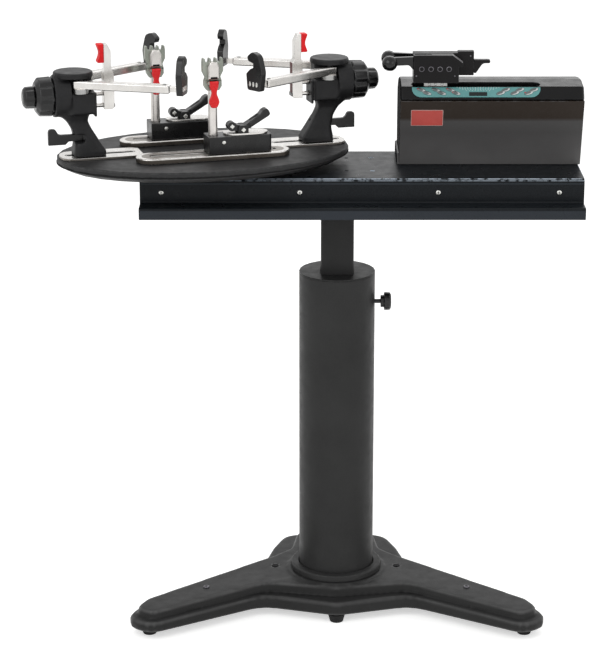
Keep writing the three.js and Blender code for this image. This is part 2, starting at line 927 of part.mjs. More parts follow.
function towerBody() {
  const key = block(-tower.key / 2, tower.key / 2, running - slotWidth / 2, slotWidth / 2 - running,
    -slotPlate.thickness, overrun);
  const leverPin = rod(lockLever.pinDiameter, lockLever.bottom - overrun,
    lockLever.bottom + lockLever.thickness + overrun, "z", coarseSides);
  const rodHoles = rodHeights.map((height) =>
    bore(supportBar.rodDiameter, housing.inner - housing.corner, housing.barrelStart - pillar.halfWidth, "x")
      .translate(0, 0, height),
  );
  const screwHole = bore(knobScrew.diameter, housing.barrelEnd - knobScrew.length - seat,
    housing.barrelEnd + overrun, "x").translate(0, 0, housing.axisHeight);
  const shell = join(neck(), key, ...towerHousing(), ...towerTop());
  return join(cut(shell, ...leverRoom(), ...rodHoles, screwHole), leverPin);
}

// Local origin at the arm's pivot; the bar lies along X
function sideArmPiece() {
  const low = housing.deck + seat;
  const barLow = low + sideArm.rootHeight;
  const barHigh = barLow + sideArm.height;
  const back = 1 - sideArm.rootDiameter / 2;
  const half = sideArm.width / 2;
  const outline = roundedShape([
    [back, -half, half],
    [sideArm.length, -half, half / 3],
    [sideArm.length, half, half / 3],
    [back, half, half],
  ]);
  const middle = (barLow + barHigh) / 2;
  const stub = block(
    sideArm.length - overrun, sideArm.length + sideArm.stubLength,
    -sideArm.stubWidth / 2, sideArm.stubWidth / 2,
    middle - sideArm.stubHeight / 2, middle + sideArm.stubHeight / 2,
  );
  const whole = join(
    chamferedPrism(outline, barLow, barHigh, sideArm.chamfer),
    rod(sideArm.rootDiameter - half / 4, low, barLow + overrun, "z", sides),
    stub,
  );
  return cut(whole, bore(armPivot.pinDiameter, low - overrun, barHigh + overrun));
}

// Stands across the end of the bar, its notch towards the side given as -1 or 1 along local Y
function hookPiece(side) {
  const low = housing.deck + seat + sideArm.rootHeight - hook.foot;
  const start = sideArm.length + sideArm.stubLength + seat;
  const outline = roundedShape(hookShares.map(([across, up, round]) => [
    side * across * hook.halfWidth,
    low + up * hook.height,
    round * hook.height,
  ]));
  return prism(outline, start, start + hook.thickness, "x");
}

// Local origin on the knob's axis at the face that it turns against, X outwards
function armKnobPiece() {
  const end = seat + armKnob.length;
  const head = grip(armKnob.diameter, armKnob.length, armKnob.flutes).applyMatrix4(toX).translate(seat, 0, 0);
  const screw = rod(knobScrew.diameter, -knobScrew.length, seat + overrun, "x", coarseSides);
  const hole = bore(knobScrew.diameter, end - knobScrew.length - seat, end + overrun, "x");
  return cut(join(head, screw), hole);
}

function supportKnobPiece() {
  const head = grip(supportKnob.diameter, supportKnob.length, supportKnob.flutes).applyMatrix4(toX);
  const screw = rod(knobScrew.diameter, -knobScrew.length, seat + overrun, "x", coarseSides);
  return join(head.translate(seat, 0, 0), screw);
}

function supportBarPiece() {
  const s = supportBar;
  const lower = roundedShape([
    [s.inner, s.bottomHeight + s.chamfer / 2],
    [s.inner + s.chamfer / 2, s.bottomHeight],
    [s.outer, s.bottomHeight],
    [s.outer, s.shoulderHeight - s.chamfer],
    [s.upperOuter, s.shoulderHeight],
    [s.upperInner, s.shoulderHeight],
    [s.inner, s.shoulderHeight - s.chamfer],
  ]);
  const upper = roundedShape([
    [s.upperInner, s.bottomHeight + s.chamfer],
    [s.upperOuter, s.bottomHeight + s.chamfer],
    [s.upperOuter, s.topHeight],
    [s.upperInner + s.chamfer, s.topHeight],
    [s.upperInner, s.topHeight - 2 * s.chamfer],
  ]);
  const rods = rodHeights.map((height) =>
    rod(s.rodDiameter, s.outer - overrun, s.rodReach, "x", coarseSides).translate(0, 0, height),
  );
  return join(
    prism(lower, -s.halfWidth, s.halfWidth, "y"),
    prism(upper, -s.upperHalfWidth, s.upperHalfWidth, "y"),
    ...rods,
  );
}

function supportPadPiece() {
  const start = supportBar.upperOuter + seat;
  const tip = start + supportPad.thickness;
  const low = supportBar.topHeight - supportPad.height;
  const outline = roundedShape([
    [start, low],
    [tip, low, supportPad.waist / 3],
    [tip - supportPad.waist, low + supportPad.height / 2, supportPad.height / 2],
    [tip, supportBar.topHeight, supportPad.waist / 3],
    [start, supportBar.topHeight],
  ]);
  return prism(outline, -supportPad.halfWidth, supportPad.halfWidth, "y");
}

// Local origin on the lever's pin, the fin along X
function lockLeverPiece() {
  const low = lockLever.bottom;
  const high = low + lockLever.thickness;
  const hub = lockLever.hubDiameter / 2;
  const rise = lockLever.finTop - high;
  const dip = (lockLever.finStart + lockLever.reach) / 2;
  const blade = roundedShape([
    [hub / 2, low],
    [lockLever.finStart, low],
    [lockLever.finStart + rise / 2, lockLever.finBottom, rise / 4],
    [lockLever.reach, lockLever.finBottom],
    [lockLever.reach, lockLever.finTop, rise],
    [lockLever.reach - 1.2 * rise, lockLever.finTop, rise * 0.6],
    [dip, high, rise],
    [hub / 2, high],
  ]);
  const half = lockLever.bladeWidth / 2;
  const pinHole = bore(lockLever.pinDiameter, low - overrun, high + overrun);
  return cut(join(rod(lockLever.hubDiameter, low, high), prism(blade, -half, half, "y")), pinHole);
}

// String clamps: local origin on the post's axis at the track's top

function clampBasePiece() {
  const b = clampBase;
  const { pivotX, pivotRise } = baseLever;
  const bend = pivotX / 4;
  const half = [
    [-b.back, -b.halfWidth, b.back / 6],
    [pivotX - bend / 2, -b.halfWidth],
    [pivotX + bend / 2, -b.waistHalfWidth],
    [pivotX + 2 * bend, -b.halfWidth],
    [b.front, -b.halfWidth, b.halfWidth],
  ];
  const outline = roundedShape([...half, ...half.slice().reverse().map(([x, y, radius]) => [x, -y, radius])]);
  const ear = rectangle(pivotX - b.earLength / 2, pivotX + b.earLength / 2, b.height - overrun,
    b.height + b.earHeight, b.earLength / 3);
  const ears = [-1, 1].map((side) => {
    const [near, far] = [side * b.earInner, side * (b.earInner + b.earThickness)];
    return prism(ear, Math.min(near, far), Math.max(near, far), "y");
  });
  const keyHalf = slotWidth / 2 - running;
  const key = block(-b.keyLength / 2, b.keyLength / 2, -keyHalf, keyHalf, -track.height / 2, overrun);
  const socket = bore(clampPost.diameter, b.height - b.socketDepth, b.height + overrun);
  const earReach = b.earInner + b.earThickness + overrun;
  const pinHole = bore(baseLever.pinDiameter, -earReach, earReach, "y")
    .translate(pivotX, 0, b.height + pivotRise);
  return cut(join(chamferedPrism(outline, 0, b.height, b.back / 12), key, ...ears), socket, pinHole);
}

function clampPlatePiece() {
  const outline = stadium(clampPlate.start, clampPlate.end, clampPlate.width);
  const halfLength = clampBase.earLength / 2 + 2 * running;
  const halfWidth = clampBase.earInner + clampBase.earThickness + 2 * running;
  const middle = baseLever.pivotX;
  const window = rectangle(middle - halfLength, middle + halfLength, -halfWidth, halfWidth);
  const low = clampBase.height + seat;
  return prism(withHole(outline, window), low, low + clampPlate.thickness);
}

// Local origin on the lever's pin
function baseLeverPiece() {
  const v = baseLever;
  const lobeX = v.lobeBack + v.lobeDiameter / 2 - v.pivotX;
  const lobe = rod(v.lobeDiameter, -v.halfWidth, v.halfWidth, "y").translate(lobeX, 0, v.lobeRise);
  const hub = rod(v.hubDiameter, -v.halfWidth, v.halfWidth, "y");
  const pin = rod(v.pinDiameter, -clampBase.earInner - clampBase.earThickness,
    clampBase.earInner + clampBase.earThickness, "y", coarseSides);
  const linkHalf = v.hubDiameter * 0.4;
  const link = prism(roundedShape([
    [lobeX, v.lobeRise - linkHalf],
    [0, -linkHalf],
    [0, linkHalf],
    [lobeX, v.lobeRise + linkHalf],
  ]), -v.halfWidth, v.halfWidth, "y");
  const half = v.handleThickness / 2;
  const neckShape = rectangle(0, v.handleStart + overrun, -half * 0.8, half * 0.8);
  const neckPart = prism(neckShape, -v.halfWidth, v.halfWidth, "y");
  const handleShape = roundedShape([
    [v.handleStart, -half * 0.8],
    [v.handleLength, -half, half],
    [v.handleLength, half * v.humpShare, half],
    [v.handleLength * 0.82, half * v.humpShare, half],
    [v.handleLength * 0.7, half, half],
    [v.handleStart, half * 0.8],
  ]);
  const handle = chamferedPrism(handleShape, -v.handleHalfWidth, v.handleHalfWidth, half / 4, "y");
  const grooveHalf = v.handleHalfWidth / 2;
  const groove = block(
    v.handleStart * 1.4, v.handleLength * 0.66, -grooveHalf, grooveHalf, half * 0.7, v.handleThickness,
  );
  const raised = cut(join(neckPart, handle), groove).rotateY(-radians(v.handleDegrees));
  return join(hub, lobe, link, pin, raised);
}

// Levels of the clamp's head above the track
const clampBodyTop = clampBase.height - clampBase.socketDepth + seat + clampPost.length + clampHead.bodyHeight
  - clampPost.diameter / 4;

// A toothed jaw seen from the front
function jawShape(low) {
  const h = clampHead;
  const high = clampBodyTop + h.jawHeight;
  const toothFoot = high - h.toothHeight;
  const toothWidth = (2 * h.jawHalfWidth) / (2 * h.teeth - 1);
  const teeth = [];
  for (let i = 0; i < h.teeth; i++) {
    const right = h.jawHalfWidth - 2 * i * toothWidth;
    teeth.push([right, toothFoot], [right - toothWidth / 5, high], [right - toothWidth * 0.8, high],
      [right - toothWidth, toothFoot]);
  }
  const waist = h.jawHalfWidth * h.waistShare;
  return roundedShape([
    [-h.bodyHalfWidth, low],
    [h.bodyHalfWidth, low],
    [waist, low + h.jawHeight * 0.16, h.toothHeight / 2],
    [h.jawHalfWidth, low + h.jawHeight * 0.42, h.toothHeight / 2],
    ...teeth,
    [-h.jawHalfWidth, low + h.jawHeight * 0.42, h.toothHeight / 2],
    [-waist, low + h.jawHeight * 0.16, h.toothHeight / 2],
  ]);
}

const triggerPinY = -(clampHead.bodyFront + trigger.standOff + trigger.thickness / 2);
const triggerPinZ = clampBodyTop - trigger.thickness / 2 - seat;

function clampPostPiece() {
  const h = clampHead;
  const foot = clampBase.height - clampBase.socketDepth + seat;
  const bodyLow = clampBodyTop - h.bodyHeight;
  const bodyOutline = roundedShape([
    [-h.bodyHalfWidth * 0.7, bodyLow],
    [h.bodyHalfWidth * 0.7, bodyLow],
    [h.bodyHalfWidth, bodyLow + h.bodyHeight * 0.4],
    [h.bodyHalfWidth, clampBodyTop],
    [-h.bodyHalfWidth, clampBodyTop],
    [-h.bodyHalfWidth, bodyLow + h.bodyHeight * 0.4],
  ]);
  const jaw = prism(jawShape(clampBodyTop - overrun), h.mouth / 2, h.mouth / 2 + h.jawThickness, "y");
  const earBack = -h.bodyFront + overrun;
  const earFront = triggerPinY - trigger.thickness / 2;
  const earHalf = trigger.thickness / 2;
  const ears = [-1, 1].map((side) => {
    const near = side * (trigger.topHalfWidth + running);
    const far = side * (trigger.topHalfWidth + running + trigger.earThickness);
    const [left, right] = [Math.min(near, far), Math.max(near, far)];
    return block(left, right, earFront, earBack, triggerPinZ - earHalf, triggerPinZ + earHalf);
  });
  const pinReach = trigger.topHalfWidth + 2 * trigger.earThickness;
  const pinHole = bore(trigger.pinDiameter, -pinReach, pinReach, "x")
    .translate(0, triggerPinY, triggerPinZ);
  return cut(
    join(
      rod(clampPost.diameter, foot, bodyLow + overrun),
      prism(bodyOutline, -h.bodyFront, h.bodyBack, "y"),
      jaw,
      ...ears,
    ),
    pinHole,
  );
}

function clampJawPiece() {
  const h = clampHead;
  const front = -h.mouth / 2;
  const back = front - h.jawThickness;
  const low = clampBodyTop + h.blockRise;
  const high = low + h.blockHeight;
  const cheek = roundedShape([
    [-h.blockHalfWidth, low],
    [h.blockHalfWidth, low],
    [h.blockHalfWidth, high - h.blockDepth],
    [h.blockHalfWidth * 0.6, high],
    [-h.blockHalfWidth * 0.6, high],
    [-h.blockHalfWidth, high - h.blockDepth],
  ]);
  return join(
    prism(jawShape(clampBodyTop + seat), back, front, "y"),
    chamferedPrism(cheek, back - h.blockDepth, back + h.jawThickness / 2, h.blockDepth / 4, "y"),
  );
}

// Local origin on the trigger's pin
function clampTriggerPiece() {
  const t = trigger;
  const bulb = t.bulbDiameter / 2;
  const top = t.thickness / 2;
  const right = [
    [t.topHalfWidth, top],
    [t.topHalfWidth, -t.length * 0.14, top],
    [t.waistHalfWidth, -t.length * 0.38, bulb],
    [bulb, top - t.length + bulb, bulb],
    [bulb / 2, top - t.length, bulb / 2],
  ];
  const left = right.map(([x, z, radius]) => [-x, z, radius]);
  const outline = roundedShape([...left, ...right.slice().reverse()]);
  const reach = t.topHalfWidth + running + t.earThickness;
  return join(
    chamferedPrism(outline, -t.thickness / 2, t.thickness / 2, t.thickness / 5, "y"),
    rod(t.pinDiameter, -reach, reach, "x", coarseSides),
  );
}

// Tension head: local origin above the column axis at the head's foot

const coverFoot = head.seamHeight + seat;
const slotFloor = coverFoot + coverSlot.floor;
const gripperFoot = slotFloor + seat + carriage.height + seat;

function headHousing() {
  const backRise = head.seamHeight * 0.64;
  const outline = roundedShape([
    [head.frontFoot, 0],
    [head.back, 0],
    [head.back, backRise],
    [cover.backSeam, head.seamHeight],
    [head.frontSeam, head.seamHeight],
  ]);
  const flange = block(head.left - head.flangeThickness, head.left + overrun, head.frontFoot, head.back, 0,
    head.flangeHeight);
  return join(prism(outline, head.left, head.right, "x"), flange);
}

function coverRing(shrinkShare, x) {
  const corners = [
    [head.frontSeam + head.groove, 0],
    [cover.backSeam - head.groove, 0],
    [cover.backSeam - head.groove, head.groove],
    [cover.backSeam, head.groove],
    [...cover.shoulder, cover.crownRadius],
    [...cover.crown, cover.crownRadius],
    [...cover.slopeTop, cover.slopeRadius],
    [...cover.slopeFoot, cover.slopeRadius / 2],
    [head.frontSeam, head.groove],
    [head.frontSeam + head.groove, head.groove],
  ];
  const middle = (head.frontSeam + cover.backSeam) / 2;
  const shrunk = corners.map(([y, z, radius]) => [
    middle + (y - middle) * shrinkShare,
    coverFoot + z * shrinkShare,
    radius,
  ]);
  return ringOf(roundedShape(shrunk), x);
}

function headCover() {
  const round = head.endRound;
  const endShare = 1 - (0.5 * round) / cover.crown[1];
  const skin = loft([
    coverRing(endShare, head.left),
    coverRing(1, head.left + round / 3),
    coverRing(1, head.right - round),
    coverRing(1 - (1 - endShare) / 3, head.right - round / 3),
    coverRing(endShare, head.right),
  ]).applyMatrix4(toX);
  const half = (coverSlot.back - coverSlot.front) / 2;
  const slot = stadium(coverSlot.left, coverSlot.right, 2 * half, coarseSides);
  const tool = prism(slot, slotFloor, coverFoot + cover.crown[1] + overrun);
  return cut(skin, tool.translate(0, (coverSlot.front + coverSlot.back) / 2, 0));
}

// Drawn flat: X along the head, Y up the slope
function controlPanel() {
  const middle = (panel.left + panel.right) / 2;
  const halfLength = (panel.right - panel.left) / 2;
  const right = [
    [halfLength - panel.corner, 0, panel.corner],
    [halfLength - panel.corner / 5, panel.height * 0.45, panel.corner / 2],
    [halfLength, panel.height],
  ];
  const left = right.slice().reverse().map(([x, y, radius]) => [-x, y, radius]);
  return prism(roundedShape([...right, ...left]), 0, panel.thickness).translate(middle, 0, 0);
}

// Gripper: local origin on the string axis at the cheeks' foot, above the carriage's left end

function gripperCarriage() {
  return block(0, carriage.length, -carriage.halfDepth, carriage.halfDepth, -seat - carriage.height, -seat);
}

function leverSlot(side) {
  const v = ballLever;
  const near = side * v.slotBack;
  const far = side * v.slotFront;
  return block(gripper.frontLeft - overrun, v.slotEnd, Math.min(near, far), Math.max(near, far),
    v.rise - v.rootDown - seat, v.rise + v.armUp + seat);
}

function leverPin(side) {
  const v = ballLever;
  return rod(v.pinDiameter, v.rise - v.rootDown - overrun, v.rise + v.armUp + overrun, "z", coarseSides)
    .translate(v.pivotX, side * v.pivotOffset, 0);
}

function frontCheek() {
  const g = gripper;
  const outline = roundedShape([
    [g.frontLeft, 0],
    [g.frontRight, 0],
    [g.frontRight, g.noseLow],
    [g.nose, g.noseLow],
    [g.nose, g.noseHigh],
    [g.frontRight - 1.5 * (g.nose - g.frontRight), g.height],
    [g.frontLeft, g.height],
  ]);
  const near = g.stringGap / 2;
  const whole = prism(outline, -near - g.frontDepth, -near, "y");
  return join(cut(whole, leverSlot(-1)), leverPin(-1));
}

function rearCheek() {
  const g = gripper;
  const near = g.stringGap / 2;
  const far = near + g.rearBlockDepth;
  const main = block(g.frontLeft, g.frontRight, near, near + g.rearDepth, 0, g.height);
  const end = block(g.frontRight - overrun, g.rearBlockEnd, near, far, g.rearBlockLow, g.rearBlockHigh);
  return join(cut(join(main, end), leverSlot(1)), leverPin(1));
}

function gripperTab() {
  const start = gripper.rearBlockEnd + seat;
  const outline = roundedShape([
    [start, tab.low - tab.gussetDrop],
    [start + tab.gussetLength / 4, tab.low - tab.gussetDrop],
    [start + tab.gussetLength, tab.low, tab.gussetDrop / 2],
    [start + tab.length, tab.low, tab.thickness / 2],
    [start + tab.length, tab.low + tab.thickness, tab.thickness / 2],
    [start, tab.low + tab.thickness],
  ]);
  return prism(outline, tab.start, tab.start + tab.width, "y");
}

// Local origin on the lever's pin; side is -1 for the front lever and 1 for the rear one
function ballLeverPiece(side) {
  const v = ballLever;
  const half = v.armThickness / 2;
  const outline = roundedShape([
    [0, -v.rootDown],
    [0, v.armUp],
    [-v.ballBack, v.armUp],
    [-v.ballBack, -v.armDown],
    [-v.rootLength * 1.4, -v.armDown, v.armUp],
    [-v.rootLength, -v.rootDown],
  ]);
  const ball = new THREE.SphereGeometry(v.ballDiameter / 2, sides, coarseSides)
    .translate(-v.ballBack, 0, -v.ballDrop);
  const hub = rod(v.hubDiameter, -v.rootDown, v.armUp, "z", coarseSides);
  const hole = bore(v.pinDiameter, -v.rootDown - overrun, v.armUp + overrun);
  return cut(join(prism(outline, -half, half, "y"), ball, hub), hole).rotateZ(-side * radians(v.turnDegrees));
}

// Assembly: nested groups stand at the joints

const stand = new THREE.Group();
stand.name = "stand";

function addStand() {
  piece(stand, "base_casting", baseCasting(), finishes.castBlack);
  for (const [name, [x, y]] of Object.entries(footShares)) {
    const footMesh = piece(stand, "foot_" + name, levellingFoot(), finishes.rubber);
    footMesh.position.set(x * casting.legReach, y * casting.legReach, 0);
  }
  piece(stand, "column_ring", columnRingPiece(), finishes.castBlack);
  piece(stand, "column_tube", columnTube(), finishes.castBlack);
  piece(stand, "column_cap", columnCapPiece(), finishes.castBlack);
  const knob = body(stand, "lock_knob", heightTube.width / 2, 0, knobLevel);
  piece(knob, "height_lock_knob", lockKnobPiece(), finishes.plastic);
}

function addTower(parent, side) {
  const facing = side === "right" ? 1 : -1;
  const place = body(parent, side + "_tower", facing * tower.offset, 0, towerFoot, facing > 0 ? 0 : 180);
  piece(place, side + "_tower_body", towerBody(), finishes.towerBlack);
  for (const end of ["front", "rear"]) {
    const across = facing * (end === "front" ? -1 : 1);
    const arm = body(place, side + "_arm_" + end, armPivot.x, across * armPivot.y, 0,
      180 - across * sideArm.splayDegrees);
    piece(arm, side + "_side_arm_" + end, sideArmPiece(), finishes.silver);
    piece(arm, side + "_hook_" + end, hookPiece(across), finishes.plastic);
  }
  const outer = body(place, side + "_arm_knob_turn", housing.barrelEnd, 0, housing.axisHeight);
  piece(outer, side + "_arm_knob", armKnobPiece(), finishes.plastic);
  const inner = body(place, side + "_support_knob_turn", housing.barrelEnd + seat + armKnob.length, 0,
    housing.axisHeight);
  piece(inner, side + "_support_knob", supportKnobPiece(), finishes.plastic);
  const support = body(place, side + "_support_slide", 0, 0, 0);
  piece(support, side + "_support_bar", supportBarPiece(), finishes.silver);
  piece(support, side + "_support_pad", supportPadPiece(), finishes.redRubber);
  const lever = body(place, side + "_lock_lever_turn", 0, 0, 0);
  piece(lever, side + "_lock_lever", lockLeverPiece(), finishes.plastic);
}

function addClamp(parent, end) {
  const front = end === "front";
  const place = body(parent, end + "_clamp", front ? clamp.frontX : clamp.rearX,
    front ? -track.offset : track.offset, clampFoot);
  piece(place, end + "_clamp_base", clampBasePiece(), finishes.plastic);
  piece(place, end + "_clamp_base_plate", clampPlatePiece(), finishes.silver);
  const lever = body(place, end + "_base_lever", baseLever.pivotX, 0, clampBase.height + baseLever.pivotRise);
  piece(lever, end + "_clamp_base_lever", baseLeverPiece(), finishes.plastic);
  const post = body(place, end + "_post", 0, 0, 0);
  piece(post, end + "_clamp_post", clampPostPiece(), finishes.steel);
  const jaw = body(post, end + "_jaw", 0, 0, 0);
  piece(jaw, end + "_clamp_jaw", clampJawPiece(), finishes.steel);
  const pull = body(post, end + "_trigger", 0, triggerPinY, triggerPinZ);
  piece(pull, end + "_clamp_trigger", clampTriggerPiece(), finishes.red);
}

function addTurntable(bed) {
  const spin = body(bed, "turntable", turntable.x, turntable.y, railTop, turntable.turnDegrees);
  piece(spin, "turntable_disc", turntableDisc(), finishes.discBlack);
  piece(spin, "slot_plate_right", slotPlatePiece(), finishes.silver);
  piece(spin, "slot_plate_left", slotPlatePiece().rotateZ(Math.PI), finishes.silver);
  piece(spin, "clamp_track_front", clampTrack(), finishes.silver).position.y = -track.offset;
  piece(spin, "clamp_track_rear", clampTrack(), finishes.silver).position.y = track.offset;
  addTower(spin, "left");
  addTower(spin, "right");
  addClamp(spin, "front");
  addClamp(spin, "rear");
}

function addHead(bed) {
  const base = body(bed, "head", 0, 0, railTop + seat);
  piece(base, "head_housing", headHousing(), finishes.gloss);
  piece(base, "head_cover", headCover(), finishes.gloss);
  const slope = Math.atan2(cover.slopeTop[1] - cover.slopeFoot[1], cover.slopeTop[0] - cover.slopeFoot[0]);
  const lift = seat * 2;
  const plate = piece(base, "control_panel", controlPanel(), finishes.teal);
  plate.rotation.x = slope;
  plate.position.set(
    0,
    cover.slopeFoot[0] + lift * (Math.cos(slope) - Math.sin(slope)),
    coverFoot + cover.slopeFoot[1] + lift * (Math.sin(slope) + Math.cos(slope)),
  );
  const grip = body(base, "gripper", carriage.left, gripper.axisY, gripperFoot);
  piece(grip, "gripper_carriage", gripperCarriage(), finishes.silver);
  piece(grip, "gripper_front_cheek", frontCheek(), finishes.cheek);
  piece(grip, "gripper_rear_cheek", rearCheek(), finishes.cheek);
  piece(grip, "gripper_tab", gripperTab(), finishes.cheek);
  for (const [end, side] of [["front", -1], ["rear", 1]]) {
    const across = side * ballLever.pivotOffset;
    const lever = body(grip, "ball_lever_turn_" + end, ballLever.pivotX, across, ballLever.rise);
    piece(lever, "ball_lever_" + end, ballLeverPiece(side), finishes.plastic);
  }
}

function addBed() {
  const bed = body(stand, "bed", 0, 0, 0);
  piece(bed, "height_tube", heightTubePiece(), finishes.castBlack);
  piece(bed, "mounting_bracket", mountingBracket(), finishes.castBlack);
  piece(bed, "base_rail", baseRail(), finishes.railBlack);
  const bearingMesh = piece(bed, "turntable_bearing", bearingPiece(), finishes.steel);
  bearingMesh.position.set(turntable.x, turntable.y, railTop);
  addTurntable(bed);
  addHead(bed);
}

addStand();
addBed();

// The part's origin lies under the middle of its box, on the floor
stand.updateMatrixWorld(true);
const box = new THREE.Box3().setFromObject(stand, true);
const centre = box.getCenter(new THREE.Vector3());
stand.position.set(-centre.x, -centre.y, -box.min.z);

export default stand;
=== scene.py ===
"""The racket stringing machine, dressed for rendering. Lengths are in metres and angles in degrees."""
import json
import math

import bmesh
import bpy
from mathutils import Matrix, Vector
from mathutils.bvhtree import BVHTree

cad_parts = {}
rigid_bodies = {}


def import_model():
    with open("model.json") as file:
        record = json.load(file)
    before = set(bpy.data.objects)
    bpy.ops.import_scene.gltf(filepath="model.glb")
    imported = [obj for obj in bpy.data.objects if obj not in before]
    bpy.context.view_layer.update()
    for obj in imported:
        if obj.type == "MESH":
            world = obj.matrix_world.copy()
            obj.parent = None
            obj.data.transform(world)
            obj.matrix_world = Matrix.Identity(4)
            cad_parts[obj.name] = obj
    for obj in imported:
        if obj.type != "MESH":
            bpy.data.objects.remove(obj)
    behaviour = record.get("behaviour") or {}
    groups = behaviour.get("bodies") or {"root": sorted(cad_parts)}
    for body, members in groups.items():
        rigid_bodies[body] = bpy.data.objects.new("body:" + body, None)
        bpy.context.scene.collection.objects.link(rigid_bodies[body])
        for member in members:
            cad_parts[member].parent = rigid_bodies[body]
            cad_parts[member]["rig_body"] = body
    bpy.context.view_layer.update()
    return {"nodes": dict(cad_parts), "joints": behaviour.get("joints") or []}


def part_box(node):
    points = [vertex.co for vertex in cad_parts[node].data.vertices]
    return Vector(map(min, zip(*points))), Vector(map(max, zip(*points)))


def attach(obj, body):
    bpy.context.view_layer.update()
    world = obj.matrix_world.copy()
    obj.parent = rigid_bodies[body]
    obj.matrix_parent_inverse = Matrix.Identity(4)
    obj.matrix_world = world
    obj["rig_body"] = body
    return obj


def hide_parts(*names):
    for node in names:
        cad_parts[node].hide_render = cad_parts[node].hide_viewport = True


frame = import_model()

MM = 0.001

# Edges of the carried-over shapes
WELD = 0.00002
FLAT_ANGLE = 1.5
SHARP_ANGLE = 32
SMOOTH_ANGLE = 50
BEVEL_STEPS = 2
BEVEL_PROFILE = 0.5
SMOOTH_SHARE = 0.5
CORNER_START, CORNER_RANGE = 0.03, 0.07

# Detail pieces
SINK = 0.3  # how far a piece reaches into what carries it, in millimetres
LEVEL_SHARE = 0.01  # a surface that leans less than this counts as level
ROUND_STEPS = 28
PLATE_STEPS = 6

# The standard curve from a written colour to light
KNEE, SLOPE, SHIFT, POWER = 0.04045, 12.92, 0.055, 2.4


def linear(code):
    """A colour written as six hex digits, as the shader takes it."""
    parts = [int(code[i:i + 2], 16) / 255 for i in (0, 2, 4)]
    return [c / SLOPE if c <= KNEE else ((c + SHIFT) / (1 + SHIFT)) ** POWER for c in parts] + [1.0]


# Materials

COAT_ROUGH = 0.12
ROUGH_NOISE = (0.3, 0.7)


class Graph:
    """A material with a few short ways to add nodes to it."""

    def __init__(self, name):
        self.material = bpy.data.materials.new(name)
        self.material.use_nodes = True
        self.tree = self.material.node_tree
        self.shader = self.tree.nodes["Principled BSDF"]
        self.place = self.add("ShaderNodeTexCoord").outputs["Object"]

    def add(self, kind, **settings):
        node = self.tree.nodes.new(kind)
        for key, value in settings.items():
            setattr(node, key, value)
        return node

    def link(self, source, target):
        self.tree.links.new(source, target)

    def noise(self, scale, detail=3.0, rough=0.5, stretch=(1, 1, 1)):
        mapping = self.add("ShaderNodeMapping")
        mapping.inputs["Scale"].default_value = stretch
        self.link(self.place, mapping.inputs["Vector"])
        node = self.add("ShaderNodeTexNoise")
        node.inputs["Scale"].default_value = scale
        node.inputs["Detail"].default_value = detail
        node.inputs["Roughness"].default_value = rough
        self.link(mapping.outputs[0], node.inputs["Vector"])
        return node.outputs[0]

    def cells(self, scale):
        node = self.add("ShaderNodeTexVoronoi")
        node.inputs["Scale"].default_value = scale
        self.link(self.place, node.inputs["Vector"])
        return node.outputs["Distance"]

    def span(self, source, low, high, start=0.0, end=1.0):
        """Maps low..high of a value to start..end, and holds it there beyond."""
        node = self.add("ShaderNodeMapRange")
        for key, value in zip(("From Min", "From Max", "To Min", "To Max"), (low, high, start, end)):
            node.inputs[key].default_value = value
        self.link(source, node.inputs["Value"])
        return node.outputs[0]

    def times(self, first, second):
        node = self.add("ShaderNodeMath", operation="MULTIPLY")
        for socket, value in zip(node.inputs, (first, second)):
            if isinstance(value, float):
                socket.default_value = value
            else:
                self.link(value, socket)
        return node.outputs[0]

    def blend(self, share, first, second):
        """Mixes two colours, each a hex code or a socket, by a share."""
        node = self.add("ShaderNodeMix", data_type="RGBA")
        self.link(share, node.inputs["Factor"])
        for socket, value in zip(("A", "B"), (first, second)):
            target = [i for i in node.inputs if i.name == socket and i.type == "RGBA"][0]
            if isinstance(value, str):
                target.default_value = linear(value)
            else:
                self.link(value, target)
        return [o for o in node.outputs if o.type == "RGBA"][0]

    def bump(self, height, distance, strength, under=None):
        node = self.add("ShaderNodeBump")
        node.inputs["Strength"].default_value = strength
        node.inputs["Distance"].default_value = distance
        self.link(height, node.inputs["Height"])
        if under:
            self.link(under, node.inputs["Normal"])
        return node.outputs[0]

    def marked(self, layer):
        """The value that a mesh layer holds."""
        return self.add("ShaderNodeAttribute", attribute_name=layer).outputs["Fac"]

    def wear_and_highlight_edges(self, wear, scale, low=0.42, high=0.62):
        """The share of lighter rounded edges, broken up by noise: wear, and on some pieces a painted
        highlight.
        """
        patches = self.span(self.noise(scale, detail=4.0, rough=0.6), low, high)
        return self.times(self.times(self.marked("edge"), patches), wear)

    def height(self, low, high):
        """0 below a level and 1 above it, with a soft step between."""
        node = self.add("ShaderNodeSeparateXYZ")
        self.link(self.place, node.inputs[0])
        return self.span(node.outputs["Z"], low, high)

    def banded(self, body, bands):
        """Lays bands over a colour. Each is (colour, low, high) for another colour above a level."""
        for tone, low, high in bands:
            body = self.blend(self.height(low, high), body, tone)
        return body

    def uneven(self, source, rough, spread):
        """A roughness that wanders with a value, by the spread below it and above it."""
        return self.span(source, *ROUGH_NOISE, rough - spread[0], rough + spread[1])

    def finish(self, color, rough, normal, metal=0.0, specular=0.5, coat=0.0):
        inputs = self.shader.inputs
        self.link(color, inputs["Base Color"])
        self.link(rough, inputs["Roughness"])
        self.link(normal, inputs["Normal"])
        inputs["Metallic"].default_value = metal
        inputs["Specular IOR Level"].default_value = specular
        inputs["Coat Weight"].default_value = coat
        inputs["Coat Roughness"].default_value = COAT_ROUGH
        return self.material


